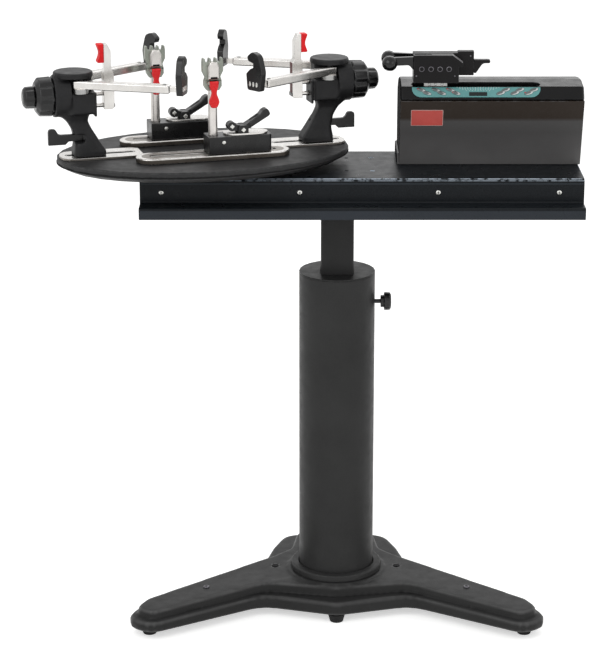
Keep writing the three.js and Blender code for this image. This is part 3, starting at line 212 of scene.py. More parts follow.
def coating(name, tone, dark, worn, rough, specular, wear=0.5, grain=1900, depth=0.00005,
            patches=(140, 0.42, 0.62), fleck=0.35, bands=(), highlight_above=None, crease_shade_tone=None):
    """Powder coat or paint: fine orange-peel grain, faint clouds of tone, edges lighter as wear, and on
    the rail and the casting as a painted highlight. patches is the scale, low and high of the noise in
    the lighter edges. highlight_above is (low, high) for the lighter edges only above a level, the
    rail's painted highlight. crease_shade_tone is the colour of painted shade in a softened piece's inner
    corners."""
    g = Graph(name)
    clouds = g.span(g.noise(scale=9), low=0.35, high=0.65)
    specks = g.span(g.noise(grain, detail=2.0), low=0.4, high=0.7, end=fleck)
    body = g.blend(specks, g.banded(g.blend(clouds, dark, tone), bands), worn)
    # Lighter edges: wear on most pieces, a painted highlight on the rail and the casting.
    edge_wear_and_highlight = g.wear_and_highlight_edges(wear, *patches)
    if highlight_above:
        edge_wear_and_highlight = g.times(edge_wear_and_highlight, g.height(*highlight_above))
    color = g.blend(edge_wear_and_highlight, body, worn)
    # Painted shade in a softened piece's inner corners.
    if crease_shade_tone:
        color = g.blend(g.marked("crease_shade"), color, crease_shade_tone)
    roughness = g.uneven(g.noise(scale=60), rough, spread=(0.06, 0.07))
    fine = g.bump(g.noise(grain, detail=2.0), depth, strength=0.6)
    wavy = g.bump(g.noise(scale=260, detail=2.0), 3 * depth, strength=0.25, under=fine)
    return g.finish(color, roughness, wavy, specular=specular)


def moulded(name, tone, dark, worn, rough, specular, wear=0.35, grain=900, depth=0.00003, coat=0.0, bands=()):
    """Moulded plastic: a slow waviness, light scratches and a faint bloom on its corners."""
    g = Graph(name)
    clouds = g.span(g.noise(scale=16, detail=2.0), low=0.3, high=0.7)
    body = g.banded(g.blend(clouds, dark, tone), bands)
    color = g.blend(g.wear_and_highlight_edges(wear, scale=90), body, worn)
    scratches = g.noise(scale=240, detail=5.0, rough=0.7, stretch=(1, 9, 1))
    color = g.blend(g.span(scratches, low=0.55, high=0.75, end=0.12), color, worn)
    roughness = g.uneven(g.noise(scale=45, detail=4.0, rough=0.6), rough, spread=(0.07, 0.09))
    fine = g.bump(g.noise(grain), depth, strength=0.5)
    wavy = g.bump(g.noise(scale=70, detail=1.0), 6 * depth, strength=0.15, under=fine)
    return g.finish(color, roughness, wavy, specular=specular, coat=coat)


def rubber(name, tone, dark, dusty, rough=0.75):
    """Rubber: matt, finely pitted, dusty where it is touched."""
    g = Graph(name)
    clouds = g.span(g.noise(scale=40, detail=4.0, rough=0.6), low=0.35, high=0.65)
    color = g.blend(g.wear_and_highlight_edges(wear=0.5, scale=200), g.blend(clouds, dark, tone), dusty)
    roughness = g.uneven(g.noise(scale=120), rough, spread=(0.08, 0.1))
    pits = g.bump(g.cells(scale=1400), distance=0.00006, strength=0.5)
    wavy = g.bump(g.noise(scale=420), distance=0.00012, strength=0.3, under=pits)
    return g.finish(color, roughness, wavy, specular=0.35)


def bare_metal(name, tone, dark, bright, rough, brushed=(1, 1, 14), line=900):
    """Bare metal: fine brushing along one way, clouded sheen, brighter worn edges."""
    g = Graph(name)
    lines = g.noise(line, detail=4.0, rough=0.65, stretch=brushed)
    clouds = g.span(g.noise(scale=24, rough=0.6), low=0.3, high=0.7)
    body = g.blend(g.span(lines, low=0.35, high=0.65, end=0.3), g.blend(clouds, dark, tone), dark)
    color = g.blend(g.wear_and_highlight_edges(wear=0.6, scale=160), body, bright)
    roughness = g.uneven(lines, rough, spread=(0.07, 0.1))
    return g.finish(color, roughness, g.bump(lines, distance=0.00003, strength=0.35), metal=1.0)


def foil(name, tone, dark, worn, rough, metal=0.0):
    """A printed polyester foil: tiny texture under a clear top, darker print clouds."""
    g = Graph(name)
    clouds = g.span(g.noise(scale=30, detail=2.0), low=0.3, high=0.7)
    dots = g.span(g.noise(scale=2600, detail=1.0), low=0.45, high=0.7, end=0.3)
    color = g.blend(dots, g.blend(clouds, dark, tone), worn)
    roughness = g.uneven(g.noise(scale=90), rough, spread=(0.06, 0.08))
    fine = g.bump(g.noise(scale=2600, detail=1.0), distance=0.00002, strength=0.4)
    return g.finish(color, roughness, fine, metal=metal)


STAND = coating("stand_powder_coat", "303030", "292929", "4a4a4a", rough=0.45, wear=0.4, specular=0.13)
# The casting's lighter crests are wear and a painted highlight, and its inner corners take near-black painted
# shade.
CASTING = coating("casting_powder_coat", "292929", "222222", "626262", rough=0.42, wear=0.85, specular=0.14,
                  patches=(30, 0.15, 0.4), fleck=0.13, crease_shade_tone="0d0d0d")
CAP = coating("cap_paint", "252525", "1f1f1f", "525252", rough=0.42, wear=0.5, specular=0.13)
# The rail's bluish white edges above 0.817 m are a painted highlight along its top front edge, set by the
# wear values here.
RAIL = coating("rail_powder_coat", "2c3036", "282c31", "b2bdc9", rough=0.32, wear=1.0, specular=0.12,
               patches=(120, 0.38, 0.52), fleck=0.04, bands=(("0b0e11", 0.7735, 0.7745),),
               highlight_above=(0.817, 0.8185))
# A lighter colour along the rail's front bend: painted highlight.
RAIL_FOLD_HIGHLIGHT = coating("rail_fold_highlight", "33383e", "2c3136", "4c5258", rough=0.32, specular=0.12, fleck=0.05)
BRACKET = coating("bracket_powder_coat", "15181c", "101316", "4a5058", rough=0.42, wear=0.4, specular=0.2)
DISC = coating("disc_texture_coat", "292929", "222223", "505051", rough=0.55, grain=1300, depth=0.00009,
               wear=0.45, specular=0.25)
TOWER = coating("tower_matt_coat", "151516", "0f0f10", "3c3c3e", rough=0.48, grain=1500, depth=0.00006,
                wear=0.3, specular=0.25)
GRIP = moulded("knob_plastic", "0f0f10", "0a0a0b", "3c3c3e", rough=0.3, specular=0.4)
# The head's grey, with darker bands above 0.835 m and a brown band near 0.905 m, is a painted reflection on
# its black gloss plastic.
HEAD = moulded("head_plastic_painted_reflection", "676666", "5f5e5e", "6c6c6d", rough=0.5, grain=1100, depth=0.00005,
               specular=0.2, bands=(("4a4949", 0.835, 0.884), ("2b231d", 0.9045, 0.911)))
HEAD_END = moulded("head_end_plastic", "101011", "0c0c0d", "1b1b1c", rough=0.8, specular=0.03)
COVER = moulded("head_cover_gloss", "0c0c0d", "080809", "343438", rough=0.28, specular=0.2)
GRIPPER = coating("gripper_anodised", "0f0d0e", "0a090a", "4c4a4c", rough=0.33, grain=2200, depth=0.00003,
                  wear=0.5, specular=0.15, fleck=0.15)
FACET = coating("machined_facet", "8d8b8d", "7c7a7c", "b5b3b5", rough=0.35, grain=2200, depth=0.00003,
                specular=0.3)
BALL = moulded("ball_plastic", "0c0c0d", "080809", "303032", rough=0.14, wear=0.2, specular=0.3, coat=0.2)
RED = moulded("red_plastic", "f50f18", "e60c14", "ff6a6e", rough=0.28, wear=0.3, specular=0.4)
RED_PAD = rubber("red_rubber", "f21820", "dd141b", "f06a6c", rough=0.6)
FOOT = rubber("foot_rubber", "0d0d0d", "090909", "2c2c2b")
# Near-black painted shade, laid where slots, holes, screw recesses, grooves and slits are in shade.
PAINTED_SHADE = rubber("painted_gap_shade", "060607", "040405", "121213", rough=0.85)
STRIP_RED = rubber("support_strip", "6e4a48", "5c3c3b", "957a78", rough=0.5)
BOLT = bare_metal("blackened_bolt", "77757a", "4c4a4e", "b4b2b6", rough=0.32)
POLISHED = bare_metal("polished_aluminium", "dedcd9", "c6c3bf", "f4f3f1", rough=0.24)
# A brushed tone for the tracks' channels, also used as painted shade on the slot plates' upright faces.
BRUSHED_AND_SIDE_SHADE = bare_metal("brushed_channel_and_side_shade", "8f8a84", "7c7771", "d8d5d0", rough=0.38, line=700)
# A darker metal used as painted shade on the tracks' upright faces.
TRACK_SIDE_SHADE = bare_metal("track_side_shade", "6a645d", "57514b", "b8b3ac", rough=0.42, brushed=(1, 1, 10))
STEEL = bare_metal("steel", "b4b4b2", "8f8f8e", "e6e6e4", rough=0.28)
JAW = bare_metal("jaw_steel", "dad6d2", "c2beba", "f1efec", rough=0.28)
COMB = bare_metal("comb_steel", "989c93", "80847c", "c2c5bd", rough=0.34)
BRIGHT = bare_metal("bright_block", "dededa", "c4c4c0", "f4f4f2", rough=0.24)
TEAL = foil("teal_foil", "5f9a99", "558f8e", "74adab", rough=0.34)
KEY = foil("key_foil", "c3c6c6", "a9adad", "e2e5e5", rough=0.26, metal=0.5)
KEY_SHADE = foil("key_foil_shade", "6b7070", "585d5d", "8e9393", rough=0.3, metal=0.5)
KEY_RIM_SHADE = foil("key_rim_shade", "3f6261", "375756", "587d7c", rough=0.4)
PRINT_WHITE = foil("white_print", "e4eae9", "d3dbda", "f4f7f6", rough=0.4)
PRINT_RED = foil("red_print", "c02a35", "a8242e", "d9606a", rough=0.36)
DISPLAY = moulded("display_window", "121b1c", "0c1314", "26393b", rough=0.1, wear=0.1, specular=0.3)
PLATE_RED = foil("red_plate", "c0453d", "b23c35", "d0685f", rough=0.36)
PLATE_EDGE = foil("red_plate_border", "cfc0ba", "bfaea8", "e2d8d4", rough=0.36)


# Shapes

def skin(name, mesh, slot, body, *materials):
    """An object for a mesh, with its materials, riding on a body."""
    thing = bpy.data.objects.new(name, mesh)
    bpy.context.scene.collection.objects.link(thing)
    for item in materials:
        mesh.materials.append(item)
    for face in mesh.polygons:
        face.use_smooth = True
    mesh.set_sharp_from_angle(angle=math.radians(SMOOTH_ANGLE))
    even = thing.modifiers.new("even_normals", "WEIGHTED_NORMAL")
    even.keep_sharp = True
    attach(thing, body)
    return thing


def round_edges(shape, width):
    """Bevels every sharp edge and marks the new faces as edge."""
    layer = shape.faces.layers.float.new("edge")
    limit = math.radians(SHARP_ANGLE)
    sharp = [e for e in shape.edges if len(e.link_faces) == 2 and e.calc_face_angle(0) > limit]
    made = bmesh.ops.bevel(shape, geom=sharp, offset=width, offset_type="OFFSET", segments=BEVEL_STEPS,
                           profile=BEVEL_PROFILE, affect="EDGES", clamp_overlap=False)
    for face in made["faces"]:
        face[layer] = 1.0


def surface_of(node):
    """A CAD node's surface, for finding the nearest or next point on it."""
    mesh = frame["nodes"][node].data
    return BVHTree.FromPolygons([v.co for v in mesh.vertices], [p.vertices[:] for p in mesh.polygons])


def hold_near(shape, surface, reach):
    """Puts points that a bevel threw off the surface back on it."""
    for point in shape.verts:
        near, normal, face, distance = surface.find_nearest(point.co)
        if distance > reach:
            point.co = near


def dress(node, material, slot, width, choose=None, extra=()):
    """Gives a CAD node's own shape rounded edges and a finish. choose(centre, normal) picks a material."""
    source = frame["nodes"][node]
    mesh = bpy.data.meshes.new(node + "_skin")
    mesh.from_pydata([v.co for v in source.data.vertices], [], [p.vertices[:] for p in source.data.polygons])
    shape = bmesh.new()
    shape.from_mesh(mesh)
    bmesh.ops.remove_doubles(shape, verts=shape.verts, dist=WELD)
    bmesh.ops.dissolve_limit(shape, angle_limit=math.radians(FLAT_ANGLE), verts=shape.verts,
                             edges=shape.edges, use_dissolve_boundaries=False)
    round_edges(shape, width)
    hold_near(shape, surface_of(node), width)
    shape.normal_update()
    if choose:
        for face in shape.faces:
            face.material_index = choose(face.calc_center_median(), face.normal)
    shape.to_mesh(mesh)
    shape.free()
    piece = skin(node + "_skin", mesh, slot, source["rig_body"], material, *extra)
    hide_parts(node)
    return piece


def soften(piece, voxel, rounds, chosen):
    """Remeshes a piece evenly and smooths the points that chosen picks, as in a casting."""
    grid = piece.modifiers.new("grid", "REMESH")
    grid.mode = "VOXEL"
    grid.voxel_size = voxel
    piece.modifiers.move(len(piece.modifiers) - 1, 0)
    piece.modifiers.remove(piece.modifiers["even_normals"])
    mesh = bpy.data.meshes.new_from_object(piece.evaluated_get(bpy.context.evaluated_depsgraph_get()))
    piece.modifiers.clear()
    shape = bmesh.new()
    shape.from_mesh(mesh)
    points = [v for v in shape.verts if chosen(v.co)]
    for _ in range(rounds):
        bmesh.ops.smooth_vert(shape, verts=points, factor=SMOOTH_SHARE,
                              use_axis_x=True, use_axis_y=True, use_axis_z=True)
    mark_corners(shape, voxel)
    for face in shape.faces:
        face.smooth = True
    shape.to_mesh(mesh)
    shape.free()
    piece.data = mesh


def mark_corners(shape, spacing):
    """Marks how far each point stands out from its neighbours, for wear and a painted highlight, and how far
    in, for painted shade.
    """
    shape.normal_update()
    edge = shape.verts.layers.float.new("edge")
    crease_shade = shape.verts.layers.float.new("crease_shade")
    for point in shape.verts:
        around = [link.other_vert(point).co for link in point.link_edges]
        middle = sum(around, Vector()) / len(around)
        out = (point.co - middle).dot(point.normal) / spacing
        point[edge] = min(max((out - CORNER_START) / CORNER_RANGE, 0.0), 1.0)
        point[crease_shade] = min(max((-out - CORNER_START) / CORNER_RANGE, 0.0), 1.0)


# Places. A local frame works in millimetres: X along the part it belongs to, Z up.

COLUMN = (57.3 * MM, -12.19 * MM, 0)
FRONT, UP = (0, -1, 0), (0, 0, 1)
joints = {joint["name"]: joint for joint in frame["joints"]}


def local_frame(place, along=(1, 0, 0)):
    x = Vector(along).normalized()
    z = Vector((0, 0, 1))
    turn = Matrix((x, z.cross(x), z)).transposed().to_4x4()
    return Matrix.Translation(place) @ turn @ Matrix.Scale(MM, 4)


def facing(base, x, y, z, out):
    """A frame on a surface: Z out of it, X level, Y up along it."""
    normal = Vector(out).normalized()
    level = Vector((0, 0, 1)).cross(normal)
    level = level.normalized() if level.length > LEVEL_SHARE else Vector((1, 0, 0))
    turn = Matrix((level, normal.cross(level), normal)).transposed().to_4x4()
    return base @ Matrix.Translation((x, y, z)) @ turn


TURNTABLE_TURN = 16
TRACK_OFFSET = 68
TRACK_CHANNEL = {"length": 250, "width": 36, "slot": 220, "slot_width": 9, "height": 0.14}
PLATE_SLOT = {"middle": 183.5, "length": 120, "width": 9.5}
SLOT_REACH = 6.5
SLOT_SLACK = 1
SIDE_LIMIT = 0.35


def turntable_frame():
    spot = joints["turntable_spin"]["pos_m"]
    turn = math.radians(TURNTABLE_TURN)
    return local_frame((spot[0], spot[1], 0), (math.cos(turn), math.sin(turn), 0))


def clamp_frame(end):
    return local_frame(joints[end + "_post_swivel"]["pos_m"], joints[end + "_clamp_travel"]["axis"])


def tower_frame(side):
    return local_frame(joints[side + "_lock_lever_swing"]["pos_m"], joints[side + "_tower_slide"]["axis"])


# The carried-over shapes

def towards(direction, limit):
    """Picks the second material where a face looks towards a direction."""
    aim = Vector(direction).normalized()
    return lambda centre, normal: 1 if normal.dot(aim) > limit else 0


def slot_walls(offset, middle, half):
    """Picks the second material, a darker metal as painted shade, on upright faces, and the third, near-black
    painted shade, in the slot along a line of the turntable.
    """
    into = turntable_frame().inverted()

    def pick(centre, normal):
        if abs(normal.z) > SIDE_LIMIT:
            return 0
        spot = into @ centre
        inside = abs(spot.y - offset) < SLOT_REACH and abs(abs(spot.x) - middle) < half
        return 2 if inside else 1

    return pick


def below(level):
    """Picks the second material on faces whose middle is under a level."""
    return lambda centre, normal: 1 if centre.z < level else 0


ARM_UNDERSIDE = 0.9765
END_LIMIT, FACET_LIMIT = 0.6, 0.9
CASTING_VOXEL = 0.0026
CASTING_ROUNDS = 6
CASTING_EDGE = 0.0014
CASTING_HOLES = ((-112, 5), (112, 5))
HOLE_KEEP = 9
TOWER_VOXEL = 0.0012
TOWER_ROUNDS = 40
TOWER_EDGE = 0.0009
TOWER_SOFT = {"inner": -6, "outer": 55, "low": 3, "high": 107}
FOOT_EDGE = 0.0006
CHANNEL_EDGE = 0.0005
JAW_BLOCK_BACK = -5.8
CLAMP_BODY_DEPTH = 17.5

# Each row is a node, its finish, its slot and the width of its rounded edges in metres.
# A row with more finishes goes on with what picks them and which they are.
STAND_SHAPES = (
    ("column_ring", STAND, "stand_black", 0.0009),
    ("column_tube", STAND, "stand_black", 0.0006),
    ("column_cap", CAP, "stand_black", 0.0006),
    ("height_tube", STAND, "stand_black", 0.0006),
    ("height_lock_knob", GRIP, "black_plastic", 0.0008),
    ("mounting_bracket", BRACKET, "stand_black", 0.0006),
    ("base_rail", RAIL, "rail_black", 0.0013),
)
TURNTABLE_SHAPES = (
    ("turntable_bearing", STEEL, "steel", 0.0005),
    ("turntable_disc", DISC, "turntable_black", 0.0012),
)
ARM_SHAPES = (
    # Below ARM_UNDERSIDE the arms take the darker steel: the root's own metal, darkened as painted shade
    # under the arm.
    ("side_arm_", POLISHED, "silver_aluminium", 0.0006, below(ARM_UNDERSIDE), (STEEL,)),
    ("hook_", GRIP, "black_plastic", 0.0009),
)
TOWER_SHAPES = (
    ("arm_knob", GRIP, "black_plastic", 0.0011),
    ("support_knob", GRIP, "black_plastic", 0.0009),
    ("lock_lever", GRIP, "black_plastic", 0.0008),
    ("support_bar", POLISHED, "silver_aluminium", 0.0006),
    ("support_pad", RED_PAD, "red_rubber", 0.0008),
)
HEAD_SHAPES = (
    ("head_housing", HEAD, "head_gloss", 0.0014, towards((-1, 0, 0), END_LIMIT), (HEAD_END,)),
    ("head_cover", COVER, "head_gloss", 0.0014, towards((-1, 0, 0), END_LIMIT), (HEAD_END,)),
    ("gripper_carriage", STEEL, "silver_aluminium", 0.0006),
    ("gripper_front_cheek", GRIPPER, "gripper_black", 0.0009, towards((1, 0, 1), FACET_LIMIT), (FACET,)),
    ("gripper_rear_cheek", GRIPPER, "gripper_black", 0.0009),
    ("gripper_tab", GRIPPER, "gripper_black", 0.0007),
    ("ball_lever_front", BALL, "black_plastic", 0.0004),
    ("ball_lever_rear", BALL, "black_plastic", 0.0004),
)


def dress_rows(rows, start="", end=""):
    """Dresses the nodes of a table, their names put between a start and an end."""
    for name, *rest in rows:
        dress(start + name + end, *rest)


def dress_casting():
    body = dress("base_casting", CASTING, "stand_black", CASTING_EDGE)
    into = local_frame(COLUMN).inverted()

    def soft(point):
        spot = into @ point
        return all(math.hypot(spot.x - x, spot.y - y) > HOLE_KEEP for x, y in CASTING_HOLES)

    soften(body, CASTING_VOXEL, CASTING_ROUNDS, soft)


def dress_turntable():
    dress_rows(TURNTABLE_SHAPES)
    # Upright faces take a darker metal, and the slots' inner walls near-black: both painted shade.
    walls = slot_walls(0, PLATE_SLOT["middle"], PLATE_SLOT["length"] / 2 + SLOT_SLACK)
    for side in ("left", "right"):
        dress("slot_plate_" + side, POLISHED, "silver_aluminium", CHANNEL_EDGE, walls, (BRUSHED_AND_SIDE_SHADE, PAINTED_SHADE))
    for offset, end in ((-TRACK_OFFSET, "front"), (TRACK_OFFSET, "rear")):
        walls = slot_walls(offset, 0, TRACK_CHANNEL["slot"] / 2 + SLOT_SLACK)
        dress("clamp_track_" + end, POLISHED, "silver_aluminium", CHANNEL_EDGE, walls, (TRACK_SIDE_SHADE, PAINTED_SHADE))


def dress_tower(side):
    body = dress(side + "_tower_body", TOWER, "tower_black", TOWER_EDGE)
    into = tower_frame(side).inverted()
    t = TOWER_SOFT

    def soft(point):
        spot = into @ point
        return t["inner"] < spot.x < t["outer"] and t["low"] < spot.z < t["high"]

    soften(body, TOWER_VOXEL, TOWER_ROUNDS, soft)
    for place in ("front", "rear"):
        dress_rows(ARM_SHAPES, side + "_", place)
    dress_rows(TOWER_SHAPES, side + "_")


def jaw_plate(end):
    """Picks the second material on the moving jaw behind its block."""
    into = clamp_frame(end).inverted()
    return lambda centre, normal: 1 if (into @ centre).y > JAW_BLOCK_BACK else 0


def dress_clamp(end):
    body_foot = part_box(end + "_clamp_jaw")[0].z - CLAMP_BODY_DEPTH * MM
    dress_rows((
        ("base", GRIP, "black_plastic", 0.0008),
        ("base_plate", POLISHED, "silver_aluminium", 0.0004),
        ("base_lever", GRIP, "black_plastic", 0.0007),
        ("post", COMB, "steel", 0.0005, below(body_foot), (JAW,)),
        ("jaw", JAW, "steel", 0.0005, jaw_plate(end), (COMB,)),
        ("trigger", RED, "red_plastic", 0.0008),
    ), end + "_clamp_")


dress_casting()
for foot in ("left", "right", "front", "rear_left", "rear_right"):
    dress("foot_" + foot, FOOT, "foot_rubber", FOOT_EDGE)
dress_rows(STAND_SHAPES)
dress_turntable()
for tower_side in ("left", "right"):
    dress_tower(tower_side)
for clamp_end in ("front", "rear"):
    dress_clamp(clamp_end)
dress_rows(HEAD_SHAPES)


# Detail pieces

def build(name, shape, slot, node, *materials, edge=0.0):
    """Turns a finished bmesh into a piece that rides with a node."""
    bmesh.ops.recalc_face_normals(shape, faces=shape.faces)
    if edge:
        round_edges(shape, edge)
    mesh = bpy.data.meshes.new(name)
    shape.to_mesh(mesh)
    shape.free()
    return skin(name, mesh, slot, frame["nodes"][node]["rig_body"], *materials)


def corner_radius(radius, corners, angle):
    """The radius at an angle of a circle, or of a polygon with that many corners."""
    if not corners:
        return radius
    part = 2 * math.pi / corners
    return radius * math.cos(part / 2) / math.cos(angle % part - part / 2)


def spin(shape, place, rings, steps=ROUND_STEPS, index=0):
    """Adds a closed turned form. Each ring is (radius, height, corners), corners 0 for round."""
    loops = []
    for radius, height, corners in rings:
        angles = [2 * math.pi * i / steps for i in range(steps)]
        loops.append([
            shape.verts.new(place @ Vector((
                corner_radius(radius, corners, a) * math.cos(a),
                corner_radius(radius, corners, a) * math.sin(a),
                height,
            )))
            for a in angles
        ])
    join_loops(shape, loops, index)


def join_loops(shape, loops, index=0, closed=True):
    """Joins rings of points with faces, and closes both ends."""
    count = len(loops[0])
    made = []
    for low, high in zip(loops, loops[1:]):
        for i in range(count):
            j = (i + 1) % count
            made.append(shape.faces.new((low[i], low[j], high[j], high[i])))
    if closed:
        made.append(shape.faces.new(list(reversed(loops[0]))))
        made.append(shape.faces.new(loops[-1]))
    for face in made:
        face.material_index = index


def slab(shape, place, outline, low, high, inset=0.0, index=0):
    """Adds a plate of an outline, its upper edge drawn in by the inset."""
    half = [max(abs(p[i]) for p in outline) for i in (0, 1)]
    levels = [(low, (1, 1)), (high, [1 - inset / h for h in half])]
    if inset:
        levels.insert(1, (high - inset, (1, 1)))
    loops = [
        [shape.verts.new(place @ Vector((x * s[0], y * s[1], z))) for x, y in outline]
        for z, s in levels
    ]
    join_loops(shape, loops, index)


def oval(length, width, steps=ROUND_STEPS):
    angles = [2 * math.pi * i / steps for i in range(steps)]
    return [(length / 2 * math.cos(a), width / 2 * math.sin(a)) for a in angles]


def capsule(length, width):
    """A slot's outline: straight sides and round ends."""
    reach = (length - width) / 2
    points = []
    for i in range(ROUND_STEPS):
        a = 2 * math.pi * (i + 0.5) / ROUND_STEPS
        side = 1 if math.cos(a) > 0 else -1
        points.append((side * reach + width / 2 * math.cos(a), width / 2 * math.sin(a)))
    return points


def plate(width, height, radius, steps=PLATE_STEPS):
    """A rectangle with round corners."""
    points = []
    for corner, (sx, sy) in enumerate(((1, 1), (-1, 1), (-1, -1), (1, -1))):
        for i in range(steps + 1):
            a = math.pi / 2 * (corner + i / steps)
            points.append((sx * (width / 2 - radius) + radius * math.cos(a),
                           sy * (height / 2 - radius) + radius * math.sin(a)))
    return points


def shifted(outline, x, y, degrees=0.0):
    c, s = math.cos(math.radians(degrees)), math.sin(math.radians(degrees))
    return [(x + px * c - py * s, y + px * s + py * c) for px, py in outline]


def band(shape, place, outer, inner, low, high):
    """Adds a flat ring between two outlines of equal point counts."""
    loops = [
        [shape.verts.new(place @ Vector((x, y, z))) for x, y in outline]
        for outline, z in ((outer, low), (outer, high), (inner, high), (inner, low))
    ]
    join_loops(shape, loops + [loops[0]], closed=False)


def add_plate(name, place, outline, height, slot, node, material):
    """A piece of one flat plate that lies on a surface."""
    shape = bmesh.new()
    slab(shape, place, outline, -SINK, height)
    build(name, shape, slot, node, material)


# Small turned heads: rings of (share of the radius, share of the height, corners), above a foot ring
SOCKET_SHARES = ((1, 0.75, 0), (0.88, 1, 0), (0.56, 1, 6), (0.5, 0.25, 6))
RIM_SHARES = ((1, 0.6, 0), (0.84, 1, 0))
PAN_SHARES = ((1, 0.3, 0), (0.93, 0.62, 0), (0.72, 0.88, 0), (0.4, 1, 0))
PIN_SHARES = ((0.8, 1, 0),)
HOLE_SHARES = ((1, 0.75, 0), (0.7, 1, 0))
CAP_SHARES = ((1, 0.5, 0), (0.86, 1, 0))
SQUARE_PIN_SHARES = ((1, 0.5, 4), (0.7, 1, 4))
# Discs let into a rimmed screw: share of the radius, how far proud in millimetres, corners
RIMMED_DISCS = ((0.76, 0.05, 0), (0.46, 0.1, 6))
DISC_FOOT_SHARE = 0.5
CROSS_SHARES = {"length": 1.1, "width": 0.26, "corner": 0.1, "foot": 0.6, "top": 1.04}
CROSS_STEPS = 2


def turned(shape, place, size, shares):
    """Adds a small turned head in the given shares of its radius and height."""
    radius, height = size["radius"], size["height"]
    foot = (radius, -SINK, shares[0][2])
    rings = [(radius * r, height * h, corners) for r, h, corners in shares]
    spin(shape, place, [foot] + rings, size.get("steps", ROUND_STEPS))


def add_turned(name, places, size, shares, slot, node, material):
    """A piece of equal turned heads."""
    shape = bmesh.new()
    for place in places:
        turned(shape, place, size, shares)
    build(name, shape, slot, node, material)


def rimmed_screw(shape, place, size):
    """A cap screw in three materials: its rim, its face and its six-sided socket, a proud disc in painted
    shade.
    """
    radius, height = size["radius"], size["height"]
    turned(shape, place, size, RIM_SHARES)
    for index, (share, proud, corners) in enumerate(RIMMED_DISCS, 1):
        levels = (height * DISC_FOOT_SHARE, height + proud)
        spin(shape, place, [(radius * share, level, corners) for level in levels], index=index)


def pan_screw(shape, place, size):
    """A domed screw head with a cross recess laid into it as the second material, in painted shade."""
    radius, height = size["radius"], size["height"]
    turned(shape, place, size, PAN_SHARES)
    c = CROSS_SHARES
    arm = plate(radius * c["length"], radius * c["width"], radius * c["corner"], CROSS_STEPS)
    for degrees in (0, 90):
        slab(shape, place, shifted(arm, 0, 0, degrees), height * c["foot"], height * c["top"], index=1)


# Head

HEAD_FRONT = {"foot": (-5, 822.3), "seam": (-42, 943.0)}
COVER_SLOPE = {"low": (-41, 948.0), "high": (-28, 965.0), "panel": 1.2}
PANEL = {"x": 237.5, "half": 110.5, "half_height": 9.5, "corner": 16}
PANEL_EDGE = 0.0002
PANEL_STEPS = 10
RED_PLATE = {"x": 153.6, "z": 911.5, "width": 54, "height": 29.5, "border": 1.3, "thickness": 0.5}
KEY_LONG, KEY_WIDE, KEY_TILT = 15.0, 6.0, 17.0
KEY_RIM_WIDTH = 0.6
KEY_LIFT = 0.25
# Rings of a key: share of its size and height in millimetres
KEY_DOME = ((1, -SINK), (1, 0.1), (0.82, 0.5), (0.5, 0.8))
# Faces of a key's dome that look this way take painted shade
KEY_SHADE_AIM = (-1, -0.2, 0.35)
KEY_SHADE_LIMIT = 0.3
# Places of the keys along the panel and up its slope from the middle
LEFT_KEYS = ((142.8, 4.4), (152.6, -1.9), (168.3, 4.4), (178.0, -1.9), (193.0, 4.4), (202.8, -1.9))
RIGHT_KEYS = ((288.6, 4.4), (279.4, -1.9), (312.6, 4.4), (303.6, -1.9), (336.9, 4.4), (327.6, -1.9))
KEY_MARKS = ((137.0, 6.0), (187.6, 6.0), (197.2, -0.6), (321.5, -0.9))
KEY_MARK_LONG, KEY_MARK_WIDE = 3.0, 1.6
KEY_FACE, KEY_SIDE, KEY_PAINTED_SHADE, KEY_PRINT = range(4)  # the keys' materials in order
DISPLAY_WINDOW = {"x": 240.6, "up": -3.6, "width": 31, "height": 7.2, "corner": 0.8}
DOT_ROWS = ({"up": 9.0, "half": 36, "count": 17}, {"up": 7.0, "half": 31, "count": 15},
            {"up": 5.0, "half": 26, "count": 13}, {"up": 3.0, "half": 20, "count": 9})
DOT_SIZE, DOT_STEPS = 1.1, 8
FOIL_HEIGHT = 0.35
CHEEK_ORIGIN = (19, 22, 0)
GRIPPER_BOLTS = (-5.0, 11.0, 26.4, 41.9)
GRIPPER_BOLT = {"z": 24.5, "y": -22, "radius": 4.6, "height": 1.4}
GRIPPER_PINS = ((-14, 12.6), (52, 12.6))
GRIPPER_PIN = {"radius": 1.7, "height": 0.5}
REAR_BLOCK_PIN = {"x": 80, "y": 1.5, "z": 43, "radius": 1.6, "height": 0.6}
GRIPPER_GROOVE = {"x": -2, "y": -11, "z": 48, "length": 30, "width": 4}
CARRIAGE_SCREWS = (9, 20, 31)
CARRIAGE_SCREW = {"up_share": 0.86, "radius": 2.6, "height": 0.8}


def on_panel(x, up):
    """A frame on the panel, which lies on the cover's slope, measured from the slope's middle."""
    (y0, z0), (y1, z1) = COVER_SLOPE["low"], COVER_SLOPE["high"]
    dy, dz = y1 - y0, z1 - z0
    run = math.hypot(dy, dz)
    y = (y0 + y1) / 2 + dy / run * up - dz / run * COVER_SLOPE["panel"]
    z = (z0 + z1) / 2 + dz / run * up + dy / run * COVER_SLOPE["panel"]
    return facing(local_frame(COLUMN), x, y, z, (0, -dz, dy))


def add_red_plate():
    p = RED_PLATE
    (y0, z0), (y1, z1) = HEAD_FRONT["foot"], HEAD_FRONT["seam"]
    y = y0 + (y1 - y0) * (p["z"] - z0) / (z1 - z0)
    place = facing(local_frame(COLUMN), p["x"], y, p["z"], (0, -(z1 - z0), y1 - y0))
    shape = bmesh.new()
    slab(shape, place, plate(p["width"] + p["border"], p["height"] + p["border"], p["border"]), -SINK,
         p["thickness"] / 2, index=1)
    slab(shape, place, plate(p["width"], p["height"], p["border"] / 2), 0, p["thickness"])
    build("head_red_plate", shape, "red_plastic", "head_housing", PLATE_RED, PLATE_EDGE)


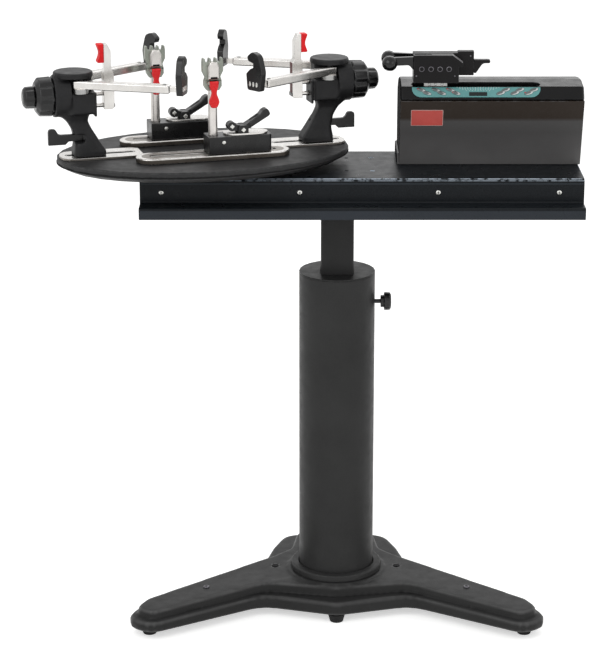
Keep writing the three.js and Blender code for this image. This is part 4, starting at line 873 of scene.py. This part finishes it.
def panel_outline():
    """Square corners at the top and large round ones at the bottom."""
    p = PANEL
    right = [(p["half"], p["half_height"])]
    for i in range(PANEL_STEPS + 1):
        a = math.pi / 2 * i / PANEL_STEPS
        right.append((p["half"] - p["corner"] * (1 - math.cos(a)),
                      -p["half_height"] + p["corner"] * (1 - math.sin(a))))
    return right + [(-x, y) for x, y in reversed(right)]


def add_key(shape, place, tilt, lift):
    """A domed key on a rim of painted shade."""
    rim = shifted(oval(KEY_LONG + 2 * KEY_RIM_WIDTH, KEY_WIDE + 2 * KEY_RIM_WIDTH), 0, 0, tilt)
    slab(shape, place, rim, -SINK, lift, index=KEY_SIDE)
    loops = []
    for share, height in KEY_DOME:
        points = shifted(oval(KEY_LONG * share, KEY_WIDE * share), 0, 0, tilt)
        loops.append([shape.verts.new(place @ Vector((x, y, lift + height))) for x, y in points])
    join_loops(shape, loops)


def add_keys():
    """Pairs of keys. The lower one lies over the upper one, and each has painted shade at its upper left."""
    shape = bmesh.new()
    for keys, tilt in ((LEFT_KEYS, -KEY_TILT), (RIGHT_KEYS, KEY_TILT)):
        for x, up in keys:
            add_key(shape, on_panel(x, up), tilt, KEY_LIFT if up > 0 else 2 * KEY_LIFT)
    bmesh.ops.recalc_face_normals(shape, faces=shape.faces)
    aim = Vector(KEY_SHADE_AIM).normalized()
    for face in shape.faces:
        if face.material_index == KEY_FACE and face.normal.dot(aim) > KEY_SHADE_LIMIT:
            face.material_index = KEY_PAINTED_SHADE
    for x, up in KEY_MARKS:
        slab(shape, on_panel(x, up), oval(KEY_MARK_LONG, KEY_MARK_WIDE), 0, 3 * FOIL_HEIGHT, index=KEY_PRINT)
    build("panel_keys", shape, "silver_aluminium", "control_panel", KEY, KEY_RIM_SHADE, KEY_SHADE, PRINT_RED)


def add_panel():
    shape = bmesh.new()
    slab(shape, on_panel(PANEL["x"], 0), panel_outline(), -COVER_SLOPE["panel"], 0)
    face = build("panel_face", shape, "panel_teal", "control_panel", TEAL, edge=PANEL_EDGE)
    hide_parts("control_panel")
    add_keys()
    d = DISPLAY_WINDOW
    add_plate("panel_display", on_panel(d["x"], d["up"]), plate(d["width"], d["height"], d["corner"]),
              FOIL_HEIGHT, "panel_teal", "control_panel", DISPLAY)
    shape = bmesh.new()
    for row in DOT_ROWS:
        for i in range(row["count"]):
            x = d["x"] + row["half"] * (2 * i / (row["count"] - 1) - 1)
            slab(shape, on_panel(x, row["up"]), oval(DOT_SIZE, DOT_SIZE, DOT_STEPS), -SINK, FOIL_HEIGHT / 2)
    build("panel_dots", shape, "panel_teal", "control_panel", PRINT_WHITE)


def low_corner(node, inward=(0, 0, 0)):
    """A frame in a node's lowest corner, moved in by millimetres."""
    return local_frame(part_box(node)[0] + Vector(inward) * MM)


def add_gripper():
    base = low_corner("gripper_front_cheek", CHEEK_ORIGIN)
    b = GRIPPER_BOLT
    shape = bmesh.new()
    for x in GRIPPER_BOLTS:
        rimmed_screw(shape, facing(base, x, b["y"], b["z"], FRONT), b)
    build("gripper_bolts", shape, "steel", "gripper_front_cheek", BOLT, GRIPPER, PAINTED_SHADE)
    shape = bmesh.new()
    for x, z in GRIPPER_PINS:
        turned(shape, facing(base, x, b["y"], z, FRONT), GRIPPER_PIN, PIN_SHARES)
    p = REAR_BLOCK_PIN
    turned(shape, facing(base, p["x"], p["y"], p["z"], FRONT), p, PIN_SHARES)
    build("gripper_pins", shape, "steel", "gripper_front_cheek", BOLT)
    # A near-black capsule on the cheek's top: painted shade of a groove.
    g = GRIPPER_GROOVE
    place = facing(base, g["x"], g["y"], g["z"], UP)
    add_plate("gripper_groove", place, capsule(g["length"], g["width"]), FOIL_HEIGHT,
              "gripper_black", "gripper_front_cheek", PAINTED_SHADE)
    carriage = low_corner("gripper_carriage")
    low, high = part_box("gripper_carriage")
    up = (high.z - low.z) / MM * CARRIAGE_SCREW["up_share"]
    places = [facing(carriage, x, 0, up, FRONT) for x in CARRIAGE_SCREWS]
    add_turned("carriage_screws", places, CARRIAGE_SCREW, PAN_SHARES, "steel", "gripper_carriage", STEEL)


# Rail and stand

RAIL_SCREWS = {"x": (-303, -66, 171, 378), "y": -108, "z": 797.5, "radius": 4.4, "height": 1.8}
RAIL_TOP = 822.0
RAIL_HOLES = ((16.0, 46.5), (15.0, -49.2))
RAIL_HOLE = {"radius": 3.4, "height": 0.2}
FOLD_LINE = {"y": -108, "z": 813.0, "width": 2.0, "height": 0.4}
CASTING_DOMES = ((-236, -85), (236, -85))
CASTING_DOME = {"radius": 5.6, "height": 2.4}
CASTING_HOLE = {"radius": 5.8, "depth": 2.0, "rim": 0.45, "rim_share": 0.86}


def drop(node, x, y):
    """A frame on a node's top and the slope there, under a point of the column frame in millimetres."""
    start = Vector((COLUMN[0] + x * MM, COLUMN[1] + y * MM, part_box(node)[1].z + MM))
    spot, normal, face, distance = surface_of(node).ray_cast(start, Vector((0, 0, -1)))
    return local_frame(spot), normal


def add_rail_fasteners():
    base = local_frame(COLUMN)
    s = RAIL_SCREWS
    shape = bmesh.new()
    for x in s["x"]:
        pan_screw(shape, facing(base, x, s["y"], s["z"], FRONT), s)
    build("rail_front_screws", shape, "steel", "base_rail", BRIGHT, PAINTED_SHADE)
    # The rail's top holes are near-black discs: painted shade.
    places = [facing(base, x, y, RAIL_TOP, UP) for x, y in RAIL_HOLES]
    add_turned("rail_top_holes", places, RAIL_HOLE, HOLE_SHARES, "rail_black", "base_rail", PAINTED_SHADE)
    low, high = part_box("base_rail")
    # A lighter strip along the bend of the rail's front: painted highlight.
    f = FOLD_LINE
    place = facing(base, (low.x + high.x) / 2 / MM - COLUMN[0] / MM, f["y"], f["z"], FRONT)
    outline = plate((high.x - low.x) / MM - f["width"], f["width"], f["width"] / 2)
    add_plate("rail_fold_highlight_line", place, outline, f["height"], "rail_black", "base_rail", RAIL_FOLD_HIGHLIGHT)


def add_casting_domes():
    drops = [drop("base_casting", x, y) for x, y in CASTING_DOMES]
    places = [facing(place, 0, 0, 0, normal) for place, normal in drops]
    add_turned("casting_domes", places, CASTING_DOME, SOCKET_SHARES, "stand_black", "base_casting", BOLT)
    # Near-black plugs in the casting's holes: painted shade.
    h = CASTING_HOLE
    shape = bmesh.new()
    for x, y in CASTING_HOLES:
        place, normal = drop("base_casting", x + HOLE_KEEP, y)
        rim = (h["radius"] * h["rim_share"], h["rim"], 0)
        rings = [(h["radius"], -h["depth"], 0), (h["radius"], SINK, 0), rim]
        spin(shape, facing(place, -HOLE_KEEP, 0, 0, UP), rings)
    build("casting_holes", shape, "stand_black", "base_casting", PAINTED_SHADE)


# Turntable

DISC_TOP = 852.0
TRACK_TOP = 862.0
PLATE_TOP = 856.6
GAP_HEIGHT = 0.2
# Width and height of the painted shade round the slots
SLOT_SHADE_WIDTH, SLOT_SHADE_HEIGHT = 1.5, 0.05
RIM = {"half_length": 258, "half_width": 168, "z": 841.5, "height": 1.6, "proud": 0.35}
RIM_SHARE = 0.99
RIM_STEPS = 96


def raised(base, z):
    return base @ Matrix.Translation((0, 0, z))


def add_slot_edge_shade(shape, base, x, y, z, length, width):
    """A near-black band round a slot's edge: painted shade."""
    outer = shifted(capsule(length + 2 * SLOT_SHADE_WIDTH, width + 2 * SLOT_SHADE_WIDTH), x, y)
    inner = shifted(capsule(length, width), x, y)
    band(shape, raised(base, z), outer, inner, -SINK, SLOT_SHADE_HEIGHT)


def add_turntable():
    base = turntable_frame()
    p = PLATE_SLOT
    c = TRACK_CHANNEL
    # Near-black sheets on the slots' floors: painted shade.
    shape = bmesh.new()
    for side in (-1, 1):
        slot = shifted(capsule(c["slot"], c["slot_width"]), 0, side * TRACK_OFFSET)
        slab(shape, raised(base, DISC_TOP), slot, -SINK, GAP_HEIGHT)
        slot = shifted(capsule(p["length"], p["width"]), side * p["middle"], 0)
        slab(shape, raised(base, DISC_TOP), slot, -SINK, GAP_HEIGHT)
    build("slot_floor_shade", shape, "turntable_black", "turntable_disc", PAINTED_SHADE)
    track_top = TRACK_TOP + c["height"]
    shape = bmesh.new()
    for side in (-1, 1):
        add_slot_edge_shade(shape, base, side * p["middle"], 0, PLATE_TOP, p["length"], p["width"])
        add_slot_edge_shade(shape, base, 0, side * TRACK_OFFSET, track_top, c["slot"], c["slot_width"])
    build("slot_edge_shade", shape, "turntable_black", "turntable_disc", PAINTED_SHADE)
    for side, end in ((-1, "front"), (1, "rear")):
        shape = bmesh.new()
        outer = shifted(capsule(c["length"], c["width"]), 0, side * TRACK_OFFSET)
        inner = shifted(capsule(c["slot"] + SLOT_SLACK, c["slot_width"]), 0, side * TRACK_OFFSET)
        band(shape, raised(base, TRACK_TOP), outer, inner, -SINK, c["height"])
        build("track_channel_" + end, shape, "silver_aluminium", "turntable_disc", BRUSHED_AND_SIDE_SHADE)
    # A near-black line round the disc's rim: painted shade of a groove.
    r = RIM
    rim = oval(2 * r["half_length"], 2 * r["half_width"], RIM_STEPS)
    outer = oval(2 * (r["half_length"] + r["proud"]), 2 * (r["half_width"] + r["proud"]), RIM_STEPS)
    inner = [(x * RIM_SHARE, y * RIM_SHARE) for x, y in rim]
    shape = bmesh.new()
    band(shape, raised(base, r["z"]), outer, inner, 0, r["height"])
    build("disc_rim_groove_shade", shape, "turntable_black", "turntable_disc", PAINTED_SHADE)


# Towers

SPLAY = 29.6
HOOK_INSERTS = {"x": 183.3, "z": 129, "across": (-9.5, -1.5, 6.5), "width": 4.6, "height": 8.6,
                "thickness": 1.0}
SUPPORT_STRIP = {"x": -45, "low": 86, "high": 140, "width": 12, "corner": 1.5, "thickness": 0.8}
SUPPORT_FOOT = {"x": -45, "low": 81, "high": 87, "width": 18, "corner": 1, "thickness": 1.2}
KNOB_CAP = {"x": 20, "radius": 11, "height": 0.8}
ARM_END_SCREW = {"x": 148, "z": 134, "radius": 3.2, "height": 1.2}


def arm_frame(side, place):
    outward = Vector(joints[side + "_tower_slide"]["axis"])
    turn = SPLAY if (side == "left") == (place == "rear") else -SPLAY
    inward = Matrix.Rotation(math.radians(turn), 3, "Z") @ -outward
    return local_frame(joints[f"{side}_arm_{place}_swing"]["pos_m"], inward)


def add_hook_inserts(side, place):
    base = arm_frame(side, place)
    h = HOOK_INSERTS
    shape = bmesh.new()
    for across in h["across"]:
        spot = facing(base, h["x"], across, h["z"], (1, 0, 0))
        slab(shape, spot, oval(h["width"], h["height"]), -SINK, h["thickness"], inset=h["thickness"] / 2)
    build(f"{side}_hook_inserts_{place}", shape, "steel", f"{side}_hook_{place}", BRIGHT)
    s = ARM_END_SCREW
    spot = facing(base, s["x"], 0, s["z"], UP)
    add_turned(f"{side}_arm_end_screw_{place}", [spot], s, SOCKET_SHARES, "steel",
               f"{side}_side_arm_{place}", STEEL)


def add_tower(side):
    base = tower_frame(side)
    for name, size, slot, material in (("strip", SUPPORT_STRIP, "red_rubber", STRIP_RED),
                                       ("foot", SUPPORT_FOOT, "black_plastic", GRIP)):
        spot = facing(base, size["x"], 0, (size["low"] + size["high"]) / 2, (-1, 0, 0))
        outline = plate(size["width"], size["high"] - size["low"], size["corner"])
        add_plate(f"{side}_support_{name}", spot, outline, size["thickness"], slot,
                  side + "_support_bar", material)
    knob = joints[side + "_support_knob_turn"]
    spot = facing(local_frame(knob["pos_m"], knob["axis"]), KNOB_CAP["x"], 0, 0, (1, 0, 0))
    add_turned(side + "_knob_cap", [spot], KNOB_CAP, CAP_SHARES, "black_plastic",
               side + "_support_knob", GRIP)
    for place in ("front", "rear"):
        add_hook_inserts(side, place)


# Clamps

BASE_SCREW = {"x": 14, "y": -22, "z": 20, "radius": 3.4, "height": 1.0}
LEVER_PINS = ((0, 12.7, 0), (-19, 8.8, 6))
LEVER_PIN = {"radius": 4.2, "height": 0.9, "steps": 16}
JAW_SLIT = {"y": -13.5, "z": 131.0, "width": 12, "height": 3.4, "corner": 0.5, "proud": 0.2}


def add_clamp(end):
    base = clamp_frame(end)
    s = BASE_SCREW
    place = facing(base, s["x"], s["y"], s["z"], FRONT)
    add_turned(end + "_base_screw", [place], s, PAN_SHARES, "steel", end + "_clamp_base", BRIGHT)
    lever = local_frame(joints[end + "_base_lever_press"]["pos_m"], joints[end + "_clamp_travel"]["axis"])
    places = [facing(lever, x, side * y, z, (0, side, 0)) for side in (-1, 1) for x, y, z in LEVER_PINS]
    add_turned(end + "_lever_pins", places, LEVER_PIN, SQUARE_PIN_SHARES, "steel",
               end + "_clamp_base_lever", BRIGHT)
    # A near-black plate on the jaw: painted shade of a slit.
    j = JAW_SLIT
    add_plate(end + "_jaw_slit", facing(base, 0, j["y"], j["z"], FRONT),
              plate(j["width"], j["height"], j["corner"]), j["proud"], "steel", end + "_clamp_jaw", PAINTED_SHADE)


add_red_plate()
add_panel()
add_gripper()
add_rail_fasteners()
add_casting_domes()
add_turntable()
for tower_side in ("left", "right"):
    add_tower(tower_side)
for clamp_end in ("front", "rear"):
    add_clamp(clamp_end)


# Stage, light and camera

CAMERA_PLACE = (0.0003, -4.0122, 1.774)
CAMERA_DROP = 17.5
CAMERA_LENS = 126.8
SENSOR_WIDTH = 36
FLOOR_HALF = 30
FLOOR_TONE = "f0f0ef"
FLOOR_ROUGH, FLOOR_SPECULAR = 0.9, 0.1
FLOOR_GLOW = 0.55
# Each lamp is its energy, size, place and aim
LAMPS = (
    (46, 2.6, (-2.2, -2.6, 3.4), (0, 0, 0.7)),
    (16, 2.4, (2.6, -2.2, 2.2), (0, 0, 0.7)),
    (20, 2.2, (0.4, 2.4, 3.0), (0, 0, 0.8)),
)
WORLD_LEVEL = 0.65


def seen_ray(tree):
    """1 for rays from the camera, and in mirrors and glass."""
    path = tree.nodes.new("ShaderNodeLightPath")
    total = path.outputs["Is Camera Ray"]
    for other in ("Is Glossy Ray", "Is Transmission Ray"):
        most = tree.nodes.new("ShaderNodeMath")
        most.operation = "MAXIMUM"
        tree.links.new(total, most.inputs[0])
        tree.links.new(path.outputs[other], most.inputs[1])
        total = most.outputs[0]
    return total


def floor_material():
    material = bpy.data.materials.new("pale_floor")
    material.use_nodes = True
    tree = material.node_tree
    diffuse = tree.nodes["Principled BSDF"]
    diffuse.inputs["Base Color"].default_value = linear(FLOOR_TONE)
    diffuse.inputs["Roughness"].default_value = FLOOR_ROUGH
    diffuse.inputs["Specular IOR Level"].default_value = FLOOR_SPECULAR
    glow = tree.nodes.new("ShaderNodeEmission")
    share = tree.nodes.new("ShaderNodeMath")
    share.operation = "MULTIPLY"
    share.inputs[1].default_value = FLOOR_GLOW
    tree.links.new(seen_ray(tree), share.inputs[0])
    tree.links.new(share.outputs[0], glow.inputs["Strength"])
    both = tree.nodes.new("ShaderNodeAddShader")
    tree.links.new(diffuse.outputs[0], both.inputs[0])
    tree.links.new(glow.outputs[0], both.inputs[1])
    tree.links.new(both.outputs[0], tree.nodes["Material Output"].inputs["Surface"])
    return material


def make_floor():
    mesh = bpy.data.meshes.new("floor")
    corners = [(x * FLOOR_HALF, y * FLOOR_HALF, 0) for x, y in ((-1, -1), (1, -1), (1, 1), (-1, 1))]
    mesh.from_pydata(corners, [], [(0, 1, 2, 3)])
    mesh.materials.append(floor_material())
    floor = bpy.data.objects.new("floor", mesh)
    bpy.context.scene.collection.objects.link(floor)


def make_world():
    world = bpy.data.worlds.new("studio")
    bpy.context.scene.world = world
    world.use_nodes = True
    tree = world.node_tree
    background = tree.nodes["Background"]
    background.inputs["Color"].default_value = (1, 1, 1, 1)
    level = tree.nodes.new("ShaderNodeMapRange")
    level.inputs["To Min"].default_value = WORLD_LEVEL
    level.inputs["To Max"].default_value = 1.0
    tree.links.new(seen_ray(tree), level.inputs["Value"])
    tree.links.new(level.outputs[0], background.inputs["Strength"])


def make_lamps():
    for number, (energy, size, place, aim) in enumerate(LAMPS):
        data = bpy.data.lights.new(f"lamp_{number}", "AREA")
        data.energy = energy
        data.size = size
        lamp = bpy.data.objects.new(f"lamp_{number}", data)
        lamp.location = place
        lamp.rotation_euler = (Vector(aim) - Vector(place)).to_track_quat("-Z", "Y").to_euler()
        bpy.context.scene.collection.objects.link(lamp)


def make_camera():
    data = bpy.data.cameras.new("camera")
    data.lens = CAMERA_LENS
    data.sensor_width = SENSOR_WIDTH
    camera = bpy.data.objects.new("camera", data)
    camera.location = CAMERA_PLACE
    camera.rotation_euler = (math.radians(90 - CAMERA_DROP), 0, 0)
    bpy.context.scene.collection.objects.link(camera)
    bpy.context.scene.camera = camera


make_floor()
make_world()
make_lamps()
make_camera()
bpy.context.scene.view_settings.view_transform = "Standard"
